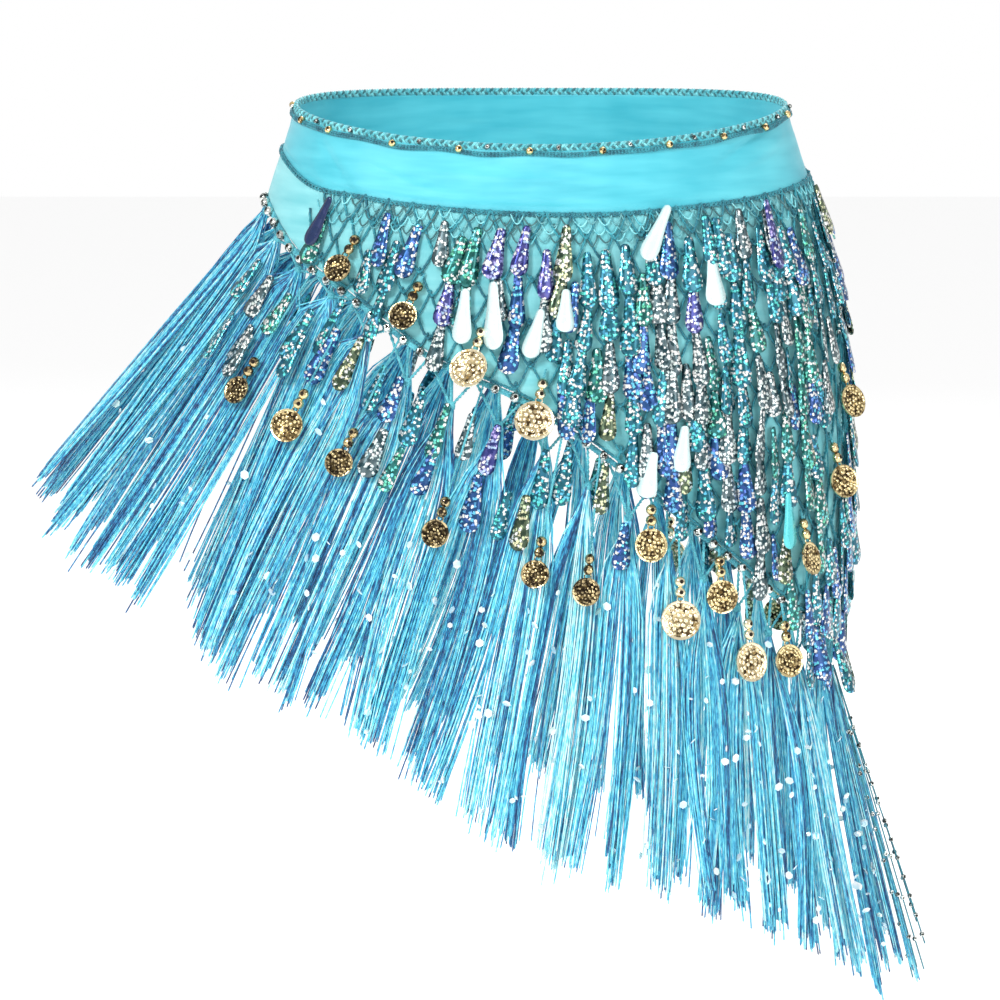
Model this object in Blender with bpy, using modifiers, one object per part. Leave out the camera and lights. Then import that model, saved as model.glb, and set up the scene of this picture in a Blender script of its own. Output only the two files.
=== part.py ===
"""Belly dance hip scarf in the form it has when worn. Metres, +Z up, the front faces -Y.

The origin is the middle of the hips at the height of the front top edge. A place on the scarf is
given by its angle round the hips (0 front, 90 degrees the low side, 180 back, 270 the tied side),
its height, and how far it stands out from the hip form. The side value of an angle is its sine.
"""

import math

import bmesh
import bpy
import numpy as np
from mathutils import Matrix, Vector

# Walls, cords and gaps
BAND_WALL = 0.0015
PANEL_WALL = 0.0015
NET_WALL = 0.0010
HEADER_WALL = 0.0012
SEAM_GAP = 0.0003
CORD_END_GAP = 0.0006
HEADER_GAP = 0.0007
TRIM_RADIUS = 0.0030
EDGE_CORD_RADIUS = 0.0022

# Hip form that the scarf is cut for: height, half width, half depth
HIP_FORM = (
    (-0.340, 0.164, 0.116),
    (-0.280, 0.172, 0.121),
    (-0.220, 0.176, 0.123),
    (-0.160, 0.174, 0.122),
    (-0.100, 0.169, 0.117),
    (-0.060, 0.161, 0.111),
    (-0.030, 0.153, 0.106),
    (0.000, 0.143, 0.102),
    (0.030, 0.136, 0.099),
)

# Rise of the top edge from the front to the back, and the part of it that is only at the sides
TOP_RISE = 0.0075

# Cut from the tied side (-1) to the low side (1): side, band height, height of the lower edge
CUT = (
    (-1.00, 0.027, -0.038),
    (-0.86, 0.036, -0.062),
    (-0.65, 0.037, -0.084),
    (-0.36, 0.038, -0.117),
    (0.00, 0.039, -0.146),
    (0.25, 0.040, -0.178),
    (0.52, 0.040, -0.219),
    (0.75, 0.041, -0.255),
    (1.00, 0.042, -0.292),
)

# Hang of the fringe from the tied side to the low side: side, lean of X per metre down, length
FRINGE_HANG = (
    (-1.00, -0.78, 0.188),
    (-0.71, -0.52, 0.191),
    (-0.38, -0.42, 0.188),
    (-0.18, -0.31, 0.196),
    (0.06, -0.21, 0.209),
    (0.25, -0.08, 0.199),
    (0.52, 0.00, 0.178),
    (0.78, 0.05, 0.169),
    (1.00, 0.16, 0.179),
)
FRINGE_STAND_OFF = 0.06
STRAND_UNEVENNESS = 0.015

# Net header of the fringe: its threads run in V shapes down to each bunch
HEADER_HEIGHT = 0.018
HEADER_BAR = 0.0022
BUNCHES_PER_SIDE = 18
SECTIONS_PER_SIDE = 3
STRANDS_PER_BUNCH = 5
THREAD_TOP = (0.00, 0.02, 0.11, 0.89, 0.98)
THREAD_COLUMNS = (1, 3)
# Strand rings: share of the length, width as a share of the root's
STRAND_RINGS = ((0.05, 0.46), (0.50, 0.42), (1.00, 0.30))

# Grids
SHEET_COLUMNS = 28
BAND_ROWS = 2
PANEL_ROWS = 4
CORD_COLUMNS = 36
EDGE_SAMPLES = 240
NORMAL_STEP = 0.0005

# Coins on their bead strings
COIN_THICKNESS = 0.0011
COIN_SIDES = 16
BEAD_RADIUS = 0.0030
STRING_RADIUS = 0.0006
STRING_SIDES = 6
COIN_OVERLAP = 0.0020
COIN_STAND_OFF = 0.14
NET_COIN_TILT = 0.26
SMALL = 0.0080
MIDDLE = 0.0095
LARGE = 0.0112
# Coins of the lower edge: side, string length, radius
EDGE_COINS = (
    (-0.77, 0.072, SMALL),
    (-0.62, 0.070, MIDDLE),
    (-0.46, 0.070, SMALL),
    (-0.185, 0.080, SMALL),
    (0.07, 0.076, SMALL),
    (0.185, 0.070, SMALL),
    (0.345, 0.020, MIDDLE),
    (0.43, 0.048, LARGE),
    (0.56, 0.018, MIDDLE),
    (0.64, 0.042, LARGE),
    (0.77, 0.026, MIDDLE),
)
# Coins that hang on the net above the edge: side, height of the string's top, string length, radius
NET_COINS = (
    (-0.628, -0.050, 0.018, SMALL),
    (-0.396, -0.074, 0.018, SMALL),
    (-0.184, -0.098, 0.018, LARGE),
    (0.012, -0.126, 0.018, LARGE),
    (0.824, -0.212, 0.018, MIDDLE),
    (0.928, -0.172, 0.018, MIDDLE),
    (0.964, -0.126, 0.020, MIDDLE),
)
BACK_EDGE_COINS = 4
FRONT = (-90.0, 90.0)
BACK = (90.0, 270.0)


def read_table(rows, place, column):
    """Value of a table's column at a place in its first column, on a smooth curve."""
    keys = [row[0] for row in rows]
    values = [row[column] for row in rows]
    slopes = np.gradient(values, keys)
    place = min(max(place, keys[0]), keys[-1])
    i = min(max(int(np.searchsorted(keys, place)) - 1, 0), len(keys) - 2)
    width = keys[i + 1] - keys[i]
    t = (place - keys[i]) / width
    rise = values[i + 1] - values[i]
    start = slopes[i] * width
    end = slopes[i + 1] * width
    return float(values[i] + t * (start + t * (3 * rise - 2 * start - end + t * (start + end - 2 * rise))))


def form_point(angle, height):
    """Point of the bare hip form."""
    return Vector((
        read_table(HIP_FORM, height, 1) * math.sin(angle),
        -read_table(HIP_FORM, height, 2) * math.cos(angle),
        height,
    ))


def out_direction(angle, height):
    """Unit vector that points away from the hips, square to the form."""
    turn = NORMAL_STEP / HIP_FORM[0][2]
    across = form_point(angle + turn, height) - form_point(angle - turn, height)
    up = form_point(angle, height + NORMAL_STEP) - form_point(angle, height - NORMAL_STEP)
    return across.cross(up).normalized()


def hip_point(angle, height, out):
    return form_point(angle, height) + out_direction(angle, height) * out


def top_height(angle):
    """Height of the finished top edge, over the trim."""
    return TOP_RISE * (1 - math.cos(angle)) + TOP_RISE * math.sin(angle) ** 2


def band_top(angle):
    return top_height(angle) - 2 * TRIM_RADIUS - SEAM_GAP


def band_bottom(angle):
    return top_height(angle) - read_table(CUT, math.sin(angle), 1)


def panel_top(angle):
    return band_bottom(angle) - SEAM_GAP


def panel_bottom(angle):
    return read_table(CUT, math.sin(angle), 2)


def edge_slope(angle):
    """Height lost for each metre round the hips along the lower edge."""
    turn = 0.01
    ahead = form_point(angle + turn, panel_bottom(angle + turn))
    behind = form_point(angle - turn, panel_bottom(angle - turn))
    run = math.hypot(ahead.x - behind.x, ahead.y - behind.y)
    return (ahead.z - behind.z) / run


def below_edge(angle, distance):
    """Height of a line that runs along the lower edge, at a square distance below it."""
    return panel_bottom(angle) - distance * math.hypot(1, edge_slope(angle))


def joined_angles(span, count, end_gap=SEAM_GAP / 2):
    """Angles of a half's columns, in radians, clear of the other half by the end gap."""
    trim = end_gap / HIP_FORM[-1][2]
    return np.linspace(math.radians(span[0]) + trim, math.radians(span[1]) - trim, count + 1)


def new_material(name, color, roughness, metallic=0.0):
    material = bpy.data.materials.new(name)
    material.use_nodes = True
    shader = material.node_tree.nodes["Principled BSDF"]
    shader.inputs["Base Color"].default_value = (*color, 1.0)
    shader.inputs["Roughness"].default_value = roughness
    shader.inputs["Metallic"].default_value = metallic
    material.diffuse_color = (*color, 1.0)
    return material


def new_object(name, data, material, collection):
    made = bpy.data.objects.new(name, data)
    made.data.materials.append(material)
    collection.objects.link(made)
    return made


def add_sheet(name, span, rows, low, high, out, wall, material):
    """One half of a sheet of cloth between two edges, with its wall outside the given surface."""
    angles = joined_angles(span, SHEET_COLUMNS)
    bm = bmesh.new()
    bmesh.ops.create_grid(bm, x_segments=SHEET_COLUMNS, y_segments=rows, size=0.5)
    for v in bm.verts:
        angle = angles[round((v.co.x + 0.5) * SHEET_COLUMNS)]
        share = v.co.y + 0.5
        height = low(angle) + (high(angle) - low(angle)) * share
        v.co = hip_point(angle, height, out)
    mesh = bpy.data.meshes.new(name)
    bm.to_mesh(mesh)
    bm.free()
    mesh.shade_smooth()
    sheet = new_object(name, mesh, material, scarf)
    solidify = sheet.modifiers.new("wall", "SOLIDIFY")
    solidify.thickness = wall
    solidify.offset = 1.0
    mesh.set_sharp_from_angle(angle=math.radians(40))
    return sheet


def add_cord(name, span, height, out, radius, material):
    """One half of a cord that runs round the hips at a given height."""
    curve = bpy.data.curves.new(name, "CURVE")
    curve.dimensions = "3D"
    curve.bevel_depth = radius
    curve.bevel_resolution = 2
    curve.use_fill_caps = True
    spline = curve.splines.new("POLY")
    angles = joined_angles(span, CORD_COLUMNS, CORD_END_GAP)
    spline.points.add(len(angles) - 1)
    for point, angle in zip(spline.points, angles):
        point.co = (*hip_point(angle, height(angle), out), 1.0)
    return new_object(name, curve, material, scarf)


def edge_angles(span):
    """Function that turns a share of the lower edge's length into its angle."""
    angles = joined_angles(span, EDGE_SAMPLES)
    points = [form_point(a, panel_bottom(a)) for a in angles]
    steps = [(b - a).length for a, b in zip(points, points[1:])]
    lengths = np.concatenate(([0.0], np.cumsum(steps)))
    return (lambda share: float(np.interp(share, lengths / lengths[-1], angles))), lengths[-1]


def hang_direction(angle, height, stand_off):
    """Direction in which a thread hangs from the lower edge, with its swing to the tied side."""
    lean = read_table(FRINGE_HANG, math.sin(angle), 1)
    out = out_direction(angle, height)
    return Vector((lean + out.x * stand_off, out.y * stand_off, -1.0)).normalized()


def header_height(angle, row):
    """Height of a row of the fringe's net header, from 0 at its top to 3 at its bottom."""
    distance = (0.0, HEADER_BAR, HEADER_HEIGHT - HEADER_BAR, HEADER_HEIGHT)[row]
    return below_edge(angle, 2 * EDGE_CORD_RADIUS + SEAM_GAP + HEADER_GAP + distance)


def add_fringe(name, span, section, material):
    """A narrow net header with its V threads cut free, and the strands that grow from it."""
    angle_at, edge_length = edge_angles(span)
    bunches = BUNCHES_PER_SIDE // SECTIONS_PER_SIDE
    first = section * bunches
    columns = bunches * STRANDS_PER_BUNCH
    end_gap = SEAM_GAP / 2 / edge_length
    bm = bmesh.new()
    bmesh.ops.create_grid(bm, x_segments=columns, y_segments=3, size=0.5)
    foot = {}
    places = {}
    for v in bm.verts:
        column = round((v.co.x + 0.5) * columns)
        row = 3 - round((v.co.y + 0.5) * 3)
        places[v] = (column, row)
        bunch, place = divmod(column, STRANDS_PER_BUNCH)
        upper = bunch + THREAD_TOP[place]
        lower = column / STRANDS_PER_BUNCH
        share = (first + (upper if row < 2 else lower)) / BUNCHES_PER_SIDE
        low_end = first / BUNCHES_PER_SIDE + end_gap
        high_end = (first + bunches) / BUNCHES_PER_SIDE - end_gap
        angle = angle_at(min(max(share, low_end), high_end))
        if row == 3:
            foot[v] = column
        v.co = hip_point(angle, header_height(angle, row), (PANEL_WALL - HEADER_WALL) / 2)
    gaps = []
    for face in bm.faces:
        column = min(places[v][0] for v in face.verts)
        between_bars = min(places[v][1] for v in face.verts) == 1
        if between_bars and column % STRANDS_PER_BUNCH not in THREAD_COLUMNS:
            gaps.append(face)
    bmesh.ops.delete(bm, geom=gaps, context="FACES")
    first_wall = set(bm.verts)
    bmesh.ops.solidify(bm, geom=list(bm.faces), thickness=-HEADER_WALL)
    roots = [
        face for face in bm.faces
        if sum(v in foot for v in face.verts) == 2 and sum(v in first_wall for v in face.verts) == 2
    ]
    for face in roots:
        grow_strand(bm, face, [v for v in face.verts if v in foot], foot)
    bmesh.ops.recalc_face_normals(bm, faces=bm.faces)
    mesh = bpy.data.meshes.new(name)
    bm.to_mesh(mesh)
    bm.free()
    return new_object(name, mesh, material, scarf)


def grow_strand(bm, face, edge, foot):
    """Draws one strand down from a face of the header's lower edge."""
    root = face.calc_center_median()
    across = (edge[1].co - edge[0].co).normalized()
    angle = math.atan2(root.x / HIP_FORM[2][1], -root.y / HIP_FORM[2][2])
    direction = hang_direction(angle, root.z, FRINGE_STAND_OFF)
    column = min(foot[v] for v in edge)
    length = read_table(FRINGE_HANG, math.sin(angle), 2)
    length *= 1 + STRAND_UNEVENNESS * math.sin(2.4 * column)
    corners = [(v.co - root) for v in face.verts]
    for share, width in STRAND_RINGS:
        face = bmesh.ops.extrude_discrete_faces(bm, faces=[face])["faces"][0]
        for v, corner in zip(face.verts, corners):
            along = corner.dot(across)
            v.co = root + direction * (length * share) + corner - across * along * (1 - width)


def net_seat(angle, height, out):
    """A point on the net's flat facets, between the four corners around it."""
    columns = joined_angles(FRONT, SHEET_COLUMNS)
    after = min(max(int(np.searchsorted(columns, angle)), 1), SHEET_COLUMNS)
    near = (angle - columns[after - 1]) / (columns[after] - columns[after - 1])
    rise = (height - panel_bottom(angle)) / (panel_top(angle) - panel_bottom(angle)) * PANEL_ROWS
    row = min(int(rise), PANEL_ROWS - 1)
    sides = []
    for column in columns[after - 1:after + 1]:
        low, high = panel_bottom(column), panel_top(column)
        corners = [hip_point(column, low + (high - low) * r / PANEL_ROWS, out) for r in (row, row + 1)]
        sides.append(corners[0].lerp(corners[1], rise - row))
    return sides[0].lerp(sides[1], near)


def add_coin(name, angle, height, out, string, radius, on_net=False):
    """A flat round coin that hangs on a thread, with two beads above it on a long one."""
    top = net_seat(angle, height, out) if on_net else hip_point(angle, height, out)
    direction = hang_direction(angle, height, COIN_STAND_OFF)
    away = out_direction(angle, height)
    if on_net:
        direction = (direction - away * (direction.dot(away) - NET_COIN_TILT)).normalized()
    side = direction.cross(away).normalized()
    face_out = side.cross(direction).normalized()
    place = Matrix((side, face_out, -direction)).transposed().to_4x4()
    place.translation = top
    half = STRING_RADIUS * 0.9
    profile = [(0.0, 0.0), (half, 0.0)]
    if string > 4 * BEAD_RADIUS:
        for middle in (string - 3.2 * BEAD_RADIUS, string - 1.1 * BEAD_RADIUS):
            profile += [
                (half, -middle + BEAD_RADIUS * 0.95),
                (BEAD_RADIUS, -middle + BEAD_RADIUS * 0.35),
                (BEAD_RADIUS, -middle - BEAD_RADIUS * 0.35),
                (half, -middle - BEAD_RADIUS * 0.95),
            ]
    profile += [(half, -string - COIN_OVERLAP), (0.0, -string - COIN_OVERLAP)]
    bm = bmesh.new()
    verts = [bm.verts.new((r, 0.0, z)) for r, z in profile]
    edges = [bm.edges.new(pair) for pair in zip(verts, verts[1:])]
    bmesh.ops.spin(
        bm, geom=verts + edges, cent=(0, 0, 0), axis=(0, 0, 1), angle=math.tau,
        steps=STRING_SIDES, use_merge=True, use_duplicate=False,
    )
    bmesh.ops.remove_doubles(bm, verts=bm.verts, dist=0.00002)
    bmesh.ops.recalc_face_normals(bm, faces=bm.faces)
    string_mesh = bpy.data.meshes.new(name + "_string")
    bm.to_mesh(string_mesh)
    bm.free()
    string_piece = new_object(name + "_string", string_mesh, gold, helpers)
    string_piece.matrix_world = place
    string_piece.hide_render = True
    string_piece.display_type = "WIRE"
    bm = bmesh.new()
    bmesh.ops.create_cone(
        bm, cap_ends=True, segments=COIN_SIDES, radius1=radius, radius2=radius, depth=COIN_THICKNESS,
    )
    bmesh.ops.rotate(bm, verts=bm.verts, matrix=Matrix.Rotation(math.pi / 2, 3, "X"))
    bmesh.ops.rotate(bm, verts=bm.verts, matrix=Matrix.Rotation(math.pi / COIN_SIDES, 3, "Y"))
    bmesh.ops.translate(bm, verts=bm.verts, vec=(0, 0, -string - radius))
    coin_mesh = bpy.data.meshes.new(name)
    bm.to_mesh(coin_mesh)
    bm.free()
    coin = new_object(name, coin_mesh, gold, scarf)
    coin.matrix_world = place
    union = coin.modifiers.new("string", "BOOLEAN")
    union.operation = "UNION"
    union.object = string_piece
    return coin


for old in list(bpy.data.objects):
    bpy.data.objects.remove(old)
scarf = bpy.data.collections.new("hip_scarf")
helpers = bpy.data.collections.new("cutters")
for made_collection in (scarf, helpers):
    bpy.context.scene.collection.children.link(made_collection)

band_cloth = new_material("waistband_cloth", (0.10, 0.62, 0.74), 0.42)
panel_cloth = new_material("panel_cloth", (0.16, 0.66, 0.74), 0.60)
trim_thread = new_material("trim_thread", (0.05, 0.42, 0.48), 0.70)
net_thread = new_material("net_thread", (0.02, 0.32, 0.38), 0.60)
fringe_thread = new_material("fringe_thread", (0.04, 0.42, 0.68), 0.35)
gold = new_material("gold_metal", (0.70, 0.52, 0.22), 0.25, 1.0)


def edge_cord_height(angle):
    return below_edge(angle, EDGE_CORD_RADIUS + SEAM_GAP)


def trim_height(angle):
    return top_height(angle) - TRIM_RADIUS


for half_name, half in (("front", FRONT), ("back", BACK)):
    add_cord("edge_trim_" + half_name, half, trim_height, BAND_WALL / 2, TRIM_RADIUS, trim_thread)
    add_sheet("waistband_" + half_name, half, BAND_ROWS, band_bottom, band_top, 0.0, BAND_WALL, band_cloth)
    add_sheet("panel_" + half_name, half, PANEL_ROWS, panel_bottom, panel_top, 0.0, PANEL_WALL, panel_cloth)
    add_sheet(
        "net_" + half_name, half, PANEL_ROWS, panel_bottom, panel_top,
        PANEL_WALL + SEAM_GAP, NET_WALL, net_thread,
    )
    add_cord(
        "beaded_edge_" + half_name, half, edge_cord_height, PANEL_WALL / 2, EDGE_CORD_RADIUS, trim_thread
    )
    for number in range(SECTIONS_PER_SIDE):
        add_fringe(f"fringe_{half_name}_{number + 1}", half, number, fringe_thread)

edge_out = PANEL_WALL / 2 + EDGE_CORD_RADIUS + SEAM_GAP + STRING_RADIUS
net_out = PANEL_WALL + SEAM_GAP + NET_WALL + SEAM_GAP + STRING_RADIUS
for number, (side, string, radius) in enumerate(EDGE_COINS, 1):
    angle = math.asin(side)
    add_coin(f"coin_edge_{number}", angle, edge_cord_height(angle), edge_out, string, radius)
for number, (side, height, string, radius) in enumerate(NET_COINS, 1):
    add_coin(f"coin_net_{number}", math.asin(side), height, net_out, string, radius, on_net=True)
for number, (side, string, radius) in enumerate(EDGE_COINS[1::3], 1):
    angle = math.pi - math.asin(side)
    add_coin(f"coin_back_{number}", angle, edge_cord_height(angle), edge_out, string, radius)
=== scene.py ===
"""A belly dance hip scarf in the form it has when worn, swung to the tied side by the dance.

Metres, +Z up, the front faces -Y. A place on the scarf is an angle round the hips (0 front,
90 degrees the low side, 270 the tied side), a height, and a distance out from the hip form.
"""

import math

import bmesh
import bpy
import numpy as np
from mathutils import Matrix, Vector


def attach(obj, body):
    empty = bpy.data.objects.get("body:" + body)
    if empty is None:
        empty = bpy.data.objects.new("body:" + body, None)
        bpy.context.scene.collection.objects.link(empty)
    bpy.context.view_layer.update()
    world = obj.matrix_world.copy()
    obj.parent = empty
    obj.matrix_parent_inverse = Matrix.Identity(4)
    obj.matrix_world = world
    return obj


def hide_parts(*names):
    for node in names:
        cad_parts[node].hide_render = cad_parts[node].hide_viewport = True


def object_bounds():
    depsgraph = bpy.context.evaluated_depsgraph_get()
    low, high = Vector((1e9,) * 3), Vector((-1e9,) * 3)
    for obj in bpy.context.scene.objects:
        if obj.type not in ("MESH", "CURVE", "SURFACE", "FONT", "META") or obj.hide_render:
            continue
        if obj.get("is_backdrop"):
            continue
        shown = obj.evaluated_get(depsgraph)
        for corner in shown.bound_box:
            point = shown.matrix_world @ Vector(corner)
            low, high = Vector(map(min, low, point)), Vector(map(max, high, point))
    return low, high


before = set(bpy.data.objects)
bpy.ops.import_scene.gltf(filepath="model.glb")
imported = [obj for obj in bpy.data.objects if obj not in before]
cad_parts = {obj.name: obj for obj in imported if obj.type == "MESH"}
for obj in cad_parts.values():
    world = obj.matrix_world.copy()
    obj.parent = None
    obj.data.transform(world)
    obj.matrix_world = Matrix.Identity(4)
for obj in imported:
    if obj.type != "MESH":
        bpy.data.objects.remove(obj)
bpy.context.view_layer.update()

# The wrap panel is one slanted piece of soft aqua lining cloth, cut to the form of the hips.
# It is deep on the low side and only a narrow strip where it is tied, on the other hip.
# The front and back halves meet in a seam on each side.
PANEL_WALL = 0.0014
SEAM_GAP = 0.0003
TOP_RISE = 0.0075
FINE_RIPPLE = 0.00025
SLOW_RIPPLE = 0.0003
HALVES = (("front", (-math.pi / 2, math.pi / 2)), ("back", (math.pi / 2, 3 * math.pi / 2)))
WHITE, BLACK = (1, 1, 1, 1), (0, 0, 0, 1)
# Height, half width, half depth
HIP_FORM = (
    (-0.340, 0.164, 0.116),
    (-0.280, 0.172, 0.121),
    (-0.220, 0.176, 0.123),
    (-0.160, 0.174, 0.122),
    (-0.100, 0.169, 0.117),
    (-0.060, 0.161, 0.111),
    (-0.030, 0.153, 0.106),
    (0.000, 0.143, 0.102),
    (0.030, 0.136, 0.099),
)
# Side (sine of the angle), band height, height of the lower edge
CUT = (
    (-1.00, 0.027, -0.038),
    (-0.86, 0.036, -0.062),
    (-0.65, 0.037, -0.084),
    (-0.36, 0.038, -0.117),
    (0.00, 0.039, -0.146),
    (0.25, 0.040, -0.178),
    (0.52, 0.040, -0.219),
    (0.75, 0.041, -0.255),
    (1.00, 0.042, -0.292),
)


def read_table(rows, places, column):
    """Smooth values of a table's column at places in its first column."""
    keys = np.array([row[0] for row in rows])
    values = np.array([row[column] for row in rows])
    slopes = np.gradient(values, keys)
    places = np.clip(places, keys[0], keys[-1])
    i = np.clip(np.searchsorted(keys, places) - 1, 0, len(keys) - 2)
    width = keys[i + 1] - keys[i]
    t = (places - keys[i]) / width
    rise = values[i + 1] - values[i]
    start, end = slopes[i] * width, slopes[i + 1] * width
    return values[i] + t * (start + t * (3 * rise - 2 * start - end + t * (start + end - 2 * rise)))


def form_points(angles, heights):
    wide = read_table(HIP_FORM, heights, 1)
    deep = read_table(HIP_FORM, heights, 2)
    heights = np.broadcast_to(heights, np.shape(wide * angles))
    return np.stack((wide * np.sin(angles), -deep * np.cos(angles), heights), axis=-1)


def out_directions(angles, heights):
    across = form_points(angles + 0.004, heights) - form_points(angles - 0.004, heights)
    up = form_points(angles, heights + 0.0005) - form_points(angles, heights - 0.0005)
    normals = np.cross(across, up)
    return normals / np.linalg.norm(normals, axis=-1, keepdims=True)


def hip_points(angles, heights, out):
    angles, heights = np.asarray(angles, float), np.asarray(heights, float)
    out = np.broadcast_to(np.asarray(out, float), np.shape(angles * heights))
    return form_points(angles, heights) + out_directions(angles, heights) * out[..., None]


def top_height(angles):
    return TOP_RISE * (1 - np.cos(angles)) + TOP_RISE * np.sin(angles) ** 2


def band_bottom(angles):
    return top_height(angles) - read_table(CUT, np.sin(angles), 1)


def panel_top(angles):
    return band_bottom(angles) - SEAM_GAP


def panel_bottom(angles):
    return read_table(CUT, np.sin(angles), 2)


def arc_table():
    """Angles, and the distance of each round the hips from the front middle, across the panel."""
    fine = np.linspace(-math.pi, 2 * math.pi, 2401)
    points = form_points(fine, np.full(fine.shape, -0.12))
    steps = np.linalg.norm(np.diff(points, axis=0), axis=1)
    lengths = np.concatenate(([0.0], np.cumsum(steps)))
    lengths -= np.interp(0.0, fine, lengths)
    return fine, lengths


ARC_ANGLES, ARC_LENGTHS = arc_table()


def angles_at(arcs):
    return np.interp(arcs, ARC_LENGTHS, ARC_ANGLES)


def arcs_at(angles):
    return np.interp(angles, ARC_ANGLES, ARC_LENGTHS)


def wear(piece, slot, *stands_for):
    """Puts a finished piece on the scarf's body and hides the solids that it stands for."""
    bpy.context.scene.collection.objects.link(piece)
    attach(piece, "root")
    if stands_for:
        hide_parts(*stands_for)


def mesh_piece(name, bm, material, smooth=True):
    mesh = bpy.data.meshes.new(name)
    bm.to_mesh(mesh)
    bm.free()
    if smooth:
        mesh.shade_smooth()
    mesh.materials.append(material)
    return bpy.data.objects.new(name, mesh)


def cloth_half(name, span, columns, rows, low, high, wall, relief, material):
    """A thin shell of cloth on the hip form, with its creases as soft relief, and a UV map in metres."""
    bm = bmesh.new()
    bmesh.ops.create_grid(bm, x_segments=columns, y_segments=rows, size=0.5, calc_uvs=True)
    flat = np.array([v.co for v in bm.verts])
    angles = span[0] + (span[1] - span[0]) * (flat[:, 0] + 0.5)
    heights = low(angles) + (high(angles) - low(angles)) * (flat[:, 1] + 0.5)
    places = hip_points(angles, heights, relief(angles, heights))
    arcs = arcs_at(angles)
    uv = bm.loops.layers.uv.verify()
    for face in bm.faces:
        for loop in face.loops:
            i = loop.vert.index
            loop[uv].uv = (arcs[i], heights[i])
    for v, place in zip(bm.verts, places):
        v.co = place
    piece = mesh_piece(name, bm, material)
    solidify = piece.modifiers.new("wall", "SOLIDIFY")
    solidify.thickness = wall
    solidify.offset = 1.0
    return piece


def declare_sheet(half, edge):
    """Works out the steps along a half's edge round the hips, and keeps nothing of them."""
    angles = np.linspace(*half, 240)
    steps = np.diff(hip_points(angles, edge(angles), 0.0)[:, :2], axis=0)


def panel_relief(angles, heights):
    """Slack that runs down from the band, shallow and uneven."""
    arcs = arcs_at(angles)
    drop = np.clip((band_bottom(angles) - heights) / 0.05, 0, 1)
    fine = np.sin(arcs * 96) * FINE_RIPPLE
    slow = np.sin(arcs * 43 + heights * 30 + 1.1) * SLOW_RIPPLE
    return (fine + slow) * drop


def new_group(name, outputs, **inputs):
    """A shader node group with its outputs, and its inputs with their first values."""
    group = bpy.data.node_groups.new(name, "ShaderNodeTree")
    for label, value in inputs.items():
        kind = "NodeSocketColor" if isinstance(value, tuple) else "NodeSocketFloat"
        group.interface.new_socket(label, in_out="INPUT", socket_type=kind).default_value = value
    for label in outputs:
        kind = "NodeSocketColor" if label == "Color" else "NodeSocketFloat"
        group.interface.new_socket(label, in_out="OUTPUT", socket_type=kind)
    given = group.nodes.new("NodeGroupInput").outputs
    return group, given, group.nodes.new("NodeGroupOutput").inputs


def node(tree, kind, links=(), **values):
    """A node with its sockets linked or set: links are (input, source socket)."""
    made = tree.nodes.new("ShaderNode" + kind)
    for name, value in values.items():
        setattr(made, name, value)
    for socket, source in links:
        if hasattr(source, "is_output"):
            tree.links.new(source, made.inputs[socket])
        else:
            made.inputs[socket].default_value = source
    return made


def noise(tree, place, scale, detail=2.0):
    return node(tree, "TexNoise", [("Vector", place), ("Scale", scale), ("Detail", detail)]).outputs[0]


def reckon(tree, operation, first, second):
    """The sum or product of two values, or whether one is above or below the other."""
    return node(tree, "Math", [(0, first), (1, second)], operation=operation).outputs[0]


def rescale(tree, value, low, high, to_low=0.0, to_high=1.0):
    """A value's range from low to high, brought to another range and kept within it."""
    ends = [("From Min", low), ("From Max", high), ("To Min", to_low), ("To Max", to_high)]
    return node(tree, "MapRange", [("Value", value)] + ends).outputs[0]


def between(tree, share, first, second):
    """A colour between two others."""
    colors = [("Factor", share), (6, first), (7, second)]
    return node(tree, "Mix", colors, data_type="RGBA").outputs[2]


def finish_with(name, roughness, metallic=0.0, sheen=0.0, coat=0.0, specular=0.5):
    material = bpy.data.materials.new(name)
    material.use_nodes = True
    shader = material.node_tree.nodes["Principled BSDF"]
    shader.inputs["Roughness"].default_value = roughness
    shader.inputs["Metallic"].default_value = metallic
    shader.inputs["Sheen Weight"].default_value = sheen
    shader.inputs["Coat Weight"].default_value = coat
    shader.inputs["Specular IOR Level"].default_value = specular
    return material, material.node_tree, shader


def bump_into(tree, shader, height, distance, strength):
    bump = node(tree, "Bump", [("Height", height), ("Distance", distance), ("Strength", strength)])
    tree.links.new(bump.outputs[0], shader.inputs["Normal"])


def group_finish(name, group, values, relief, strength, **constants):
    """A finish whose colour, relief and uneven gloss come from a group with its own values."""
    material, tree, shader = finish_with(name, **constants)
    made = tree.nodes.new("ShaderNodeGroup")
    made.node_tree = group
    for label, value in values.items():
        made.inputs[label].default_value = (*value, 1) if isinstance(value, tuple) else value
    tree.links.new(made.outputs["Color"], shader.inputs["Base Color"])
    if "Roughness" in made.outputs:
        tree.links.new(made.outputs["Roughness"], shader.inputs["Roughness"])
    bump_into(tree, shader, made.outputs["Height"], relief, strength)
    return material


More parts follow.
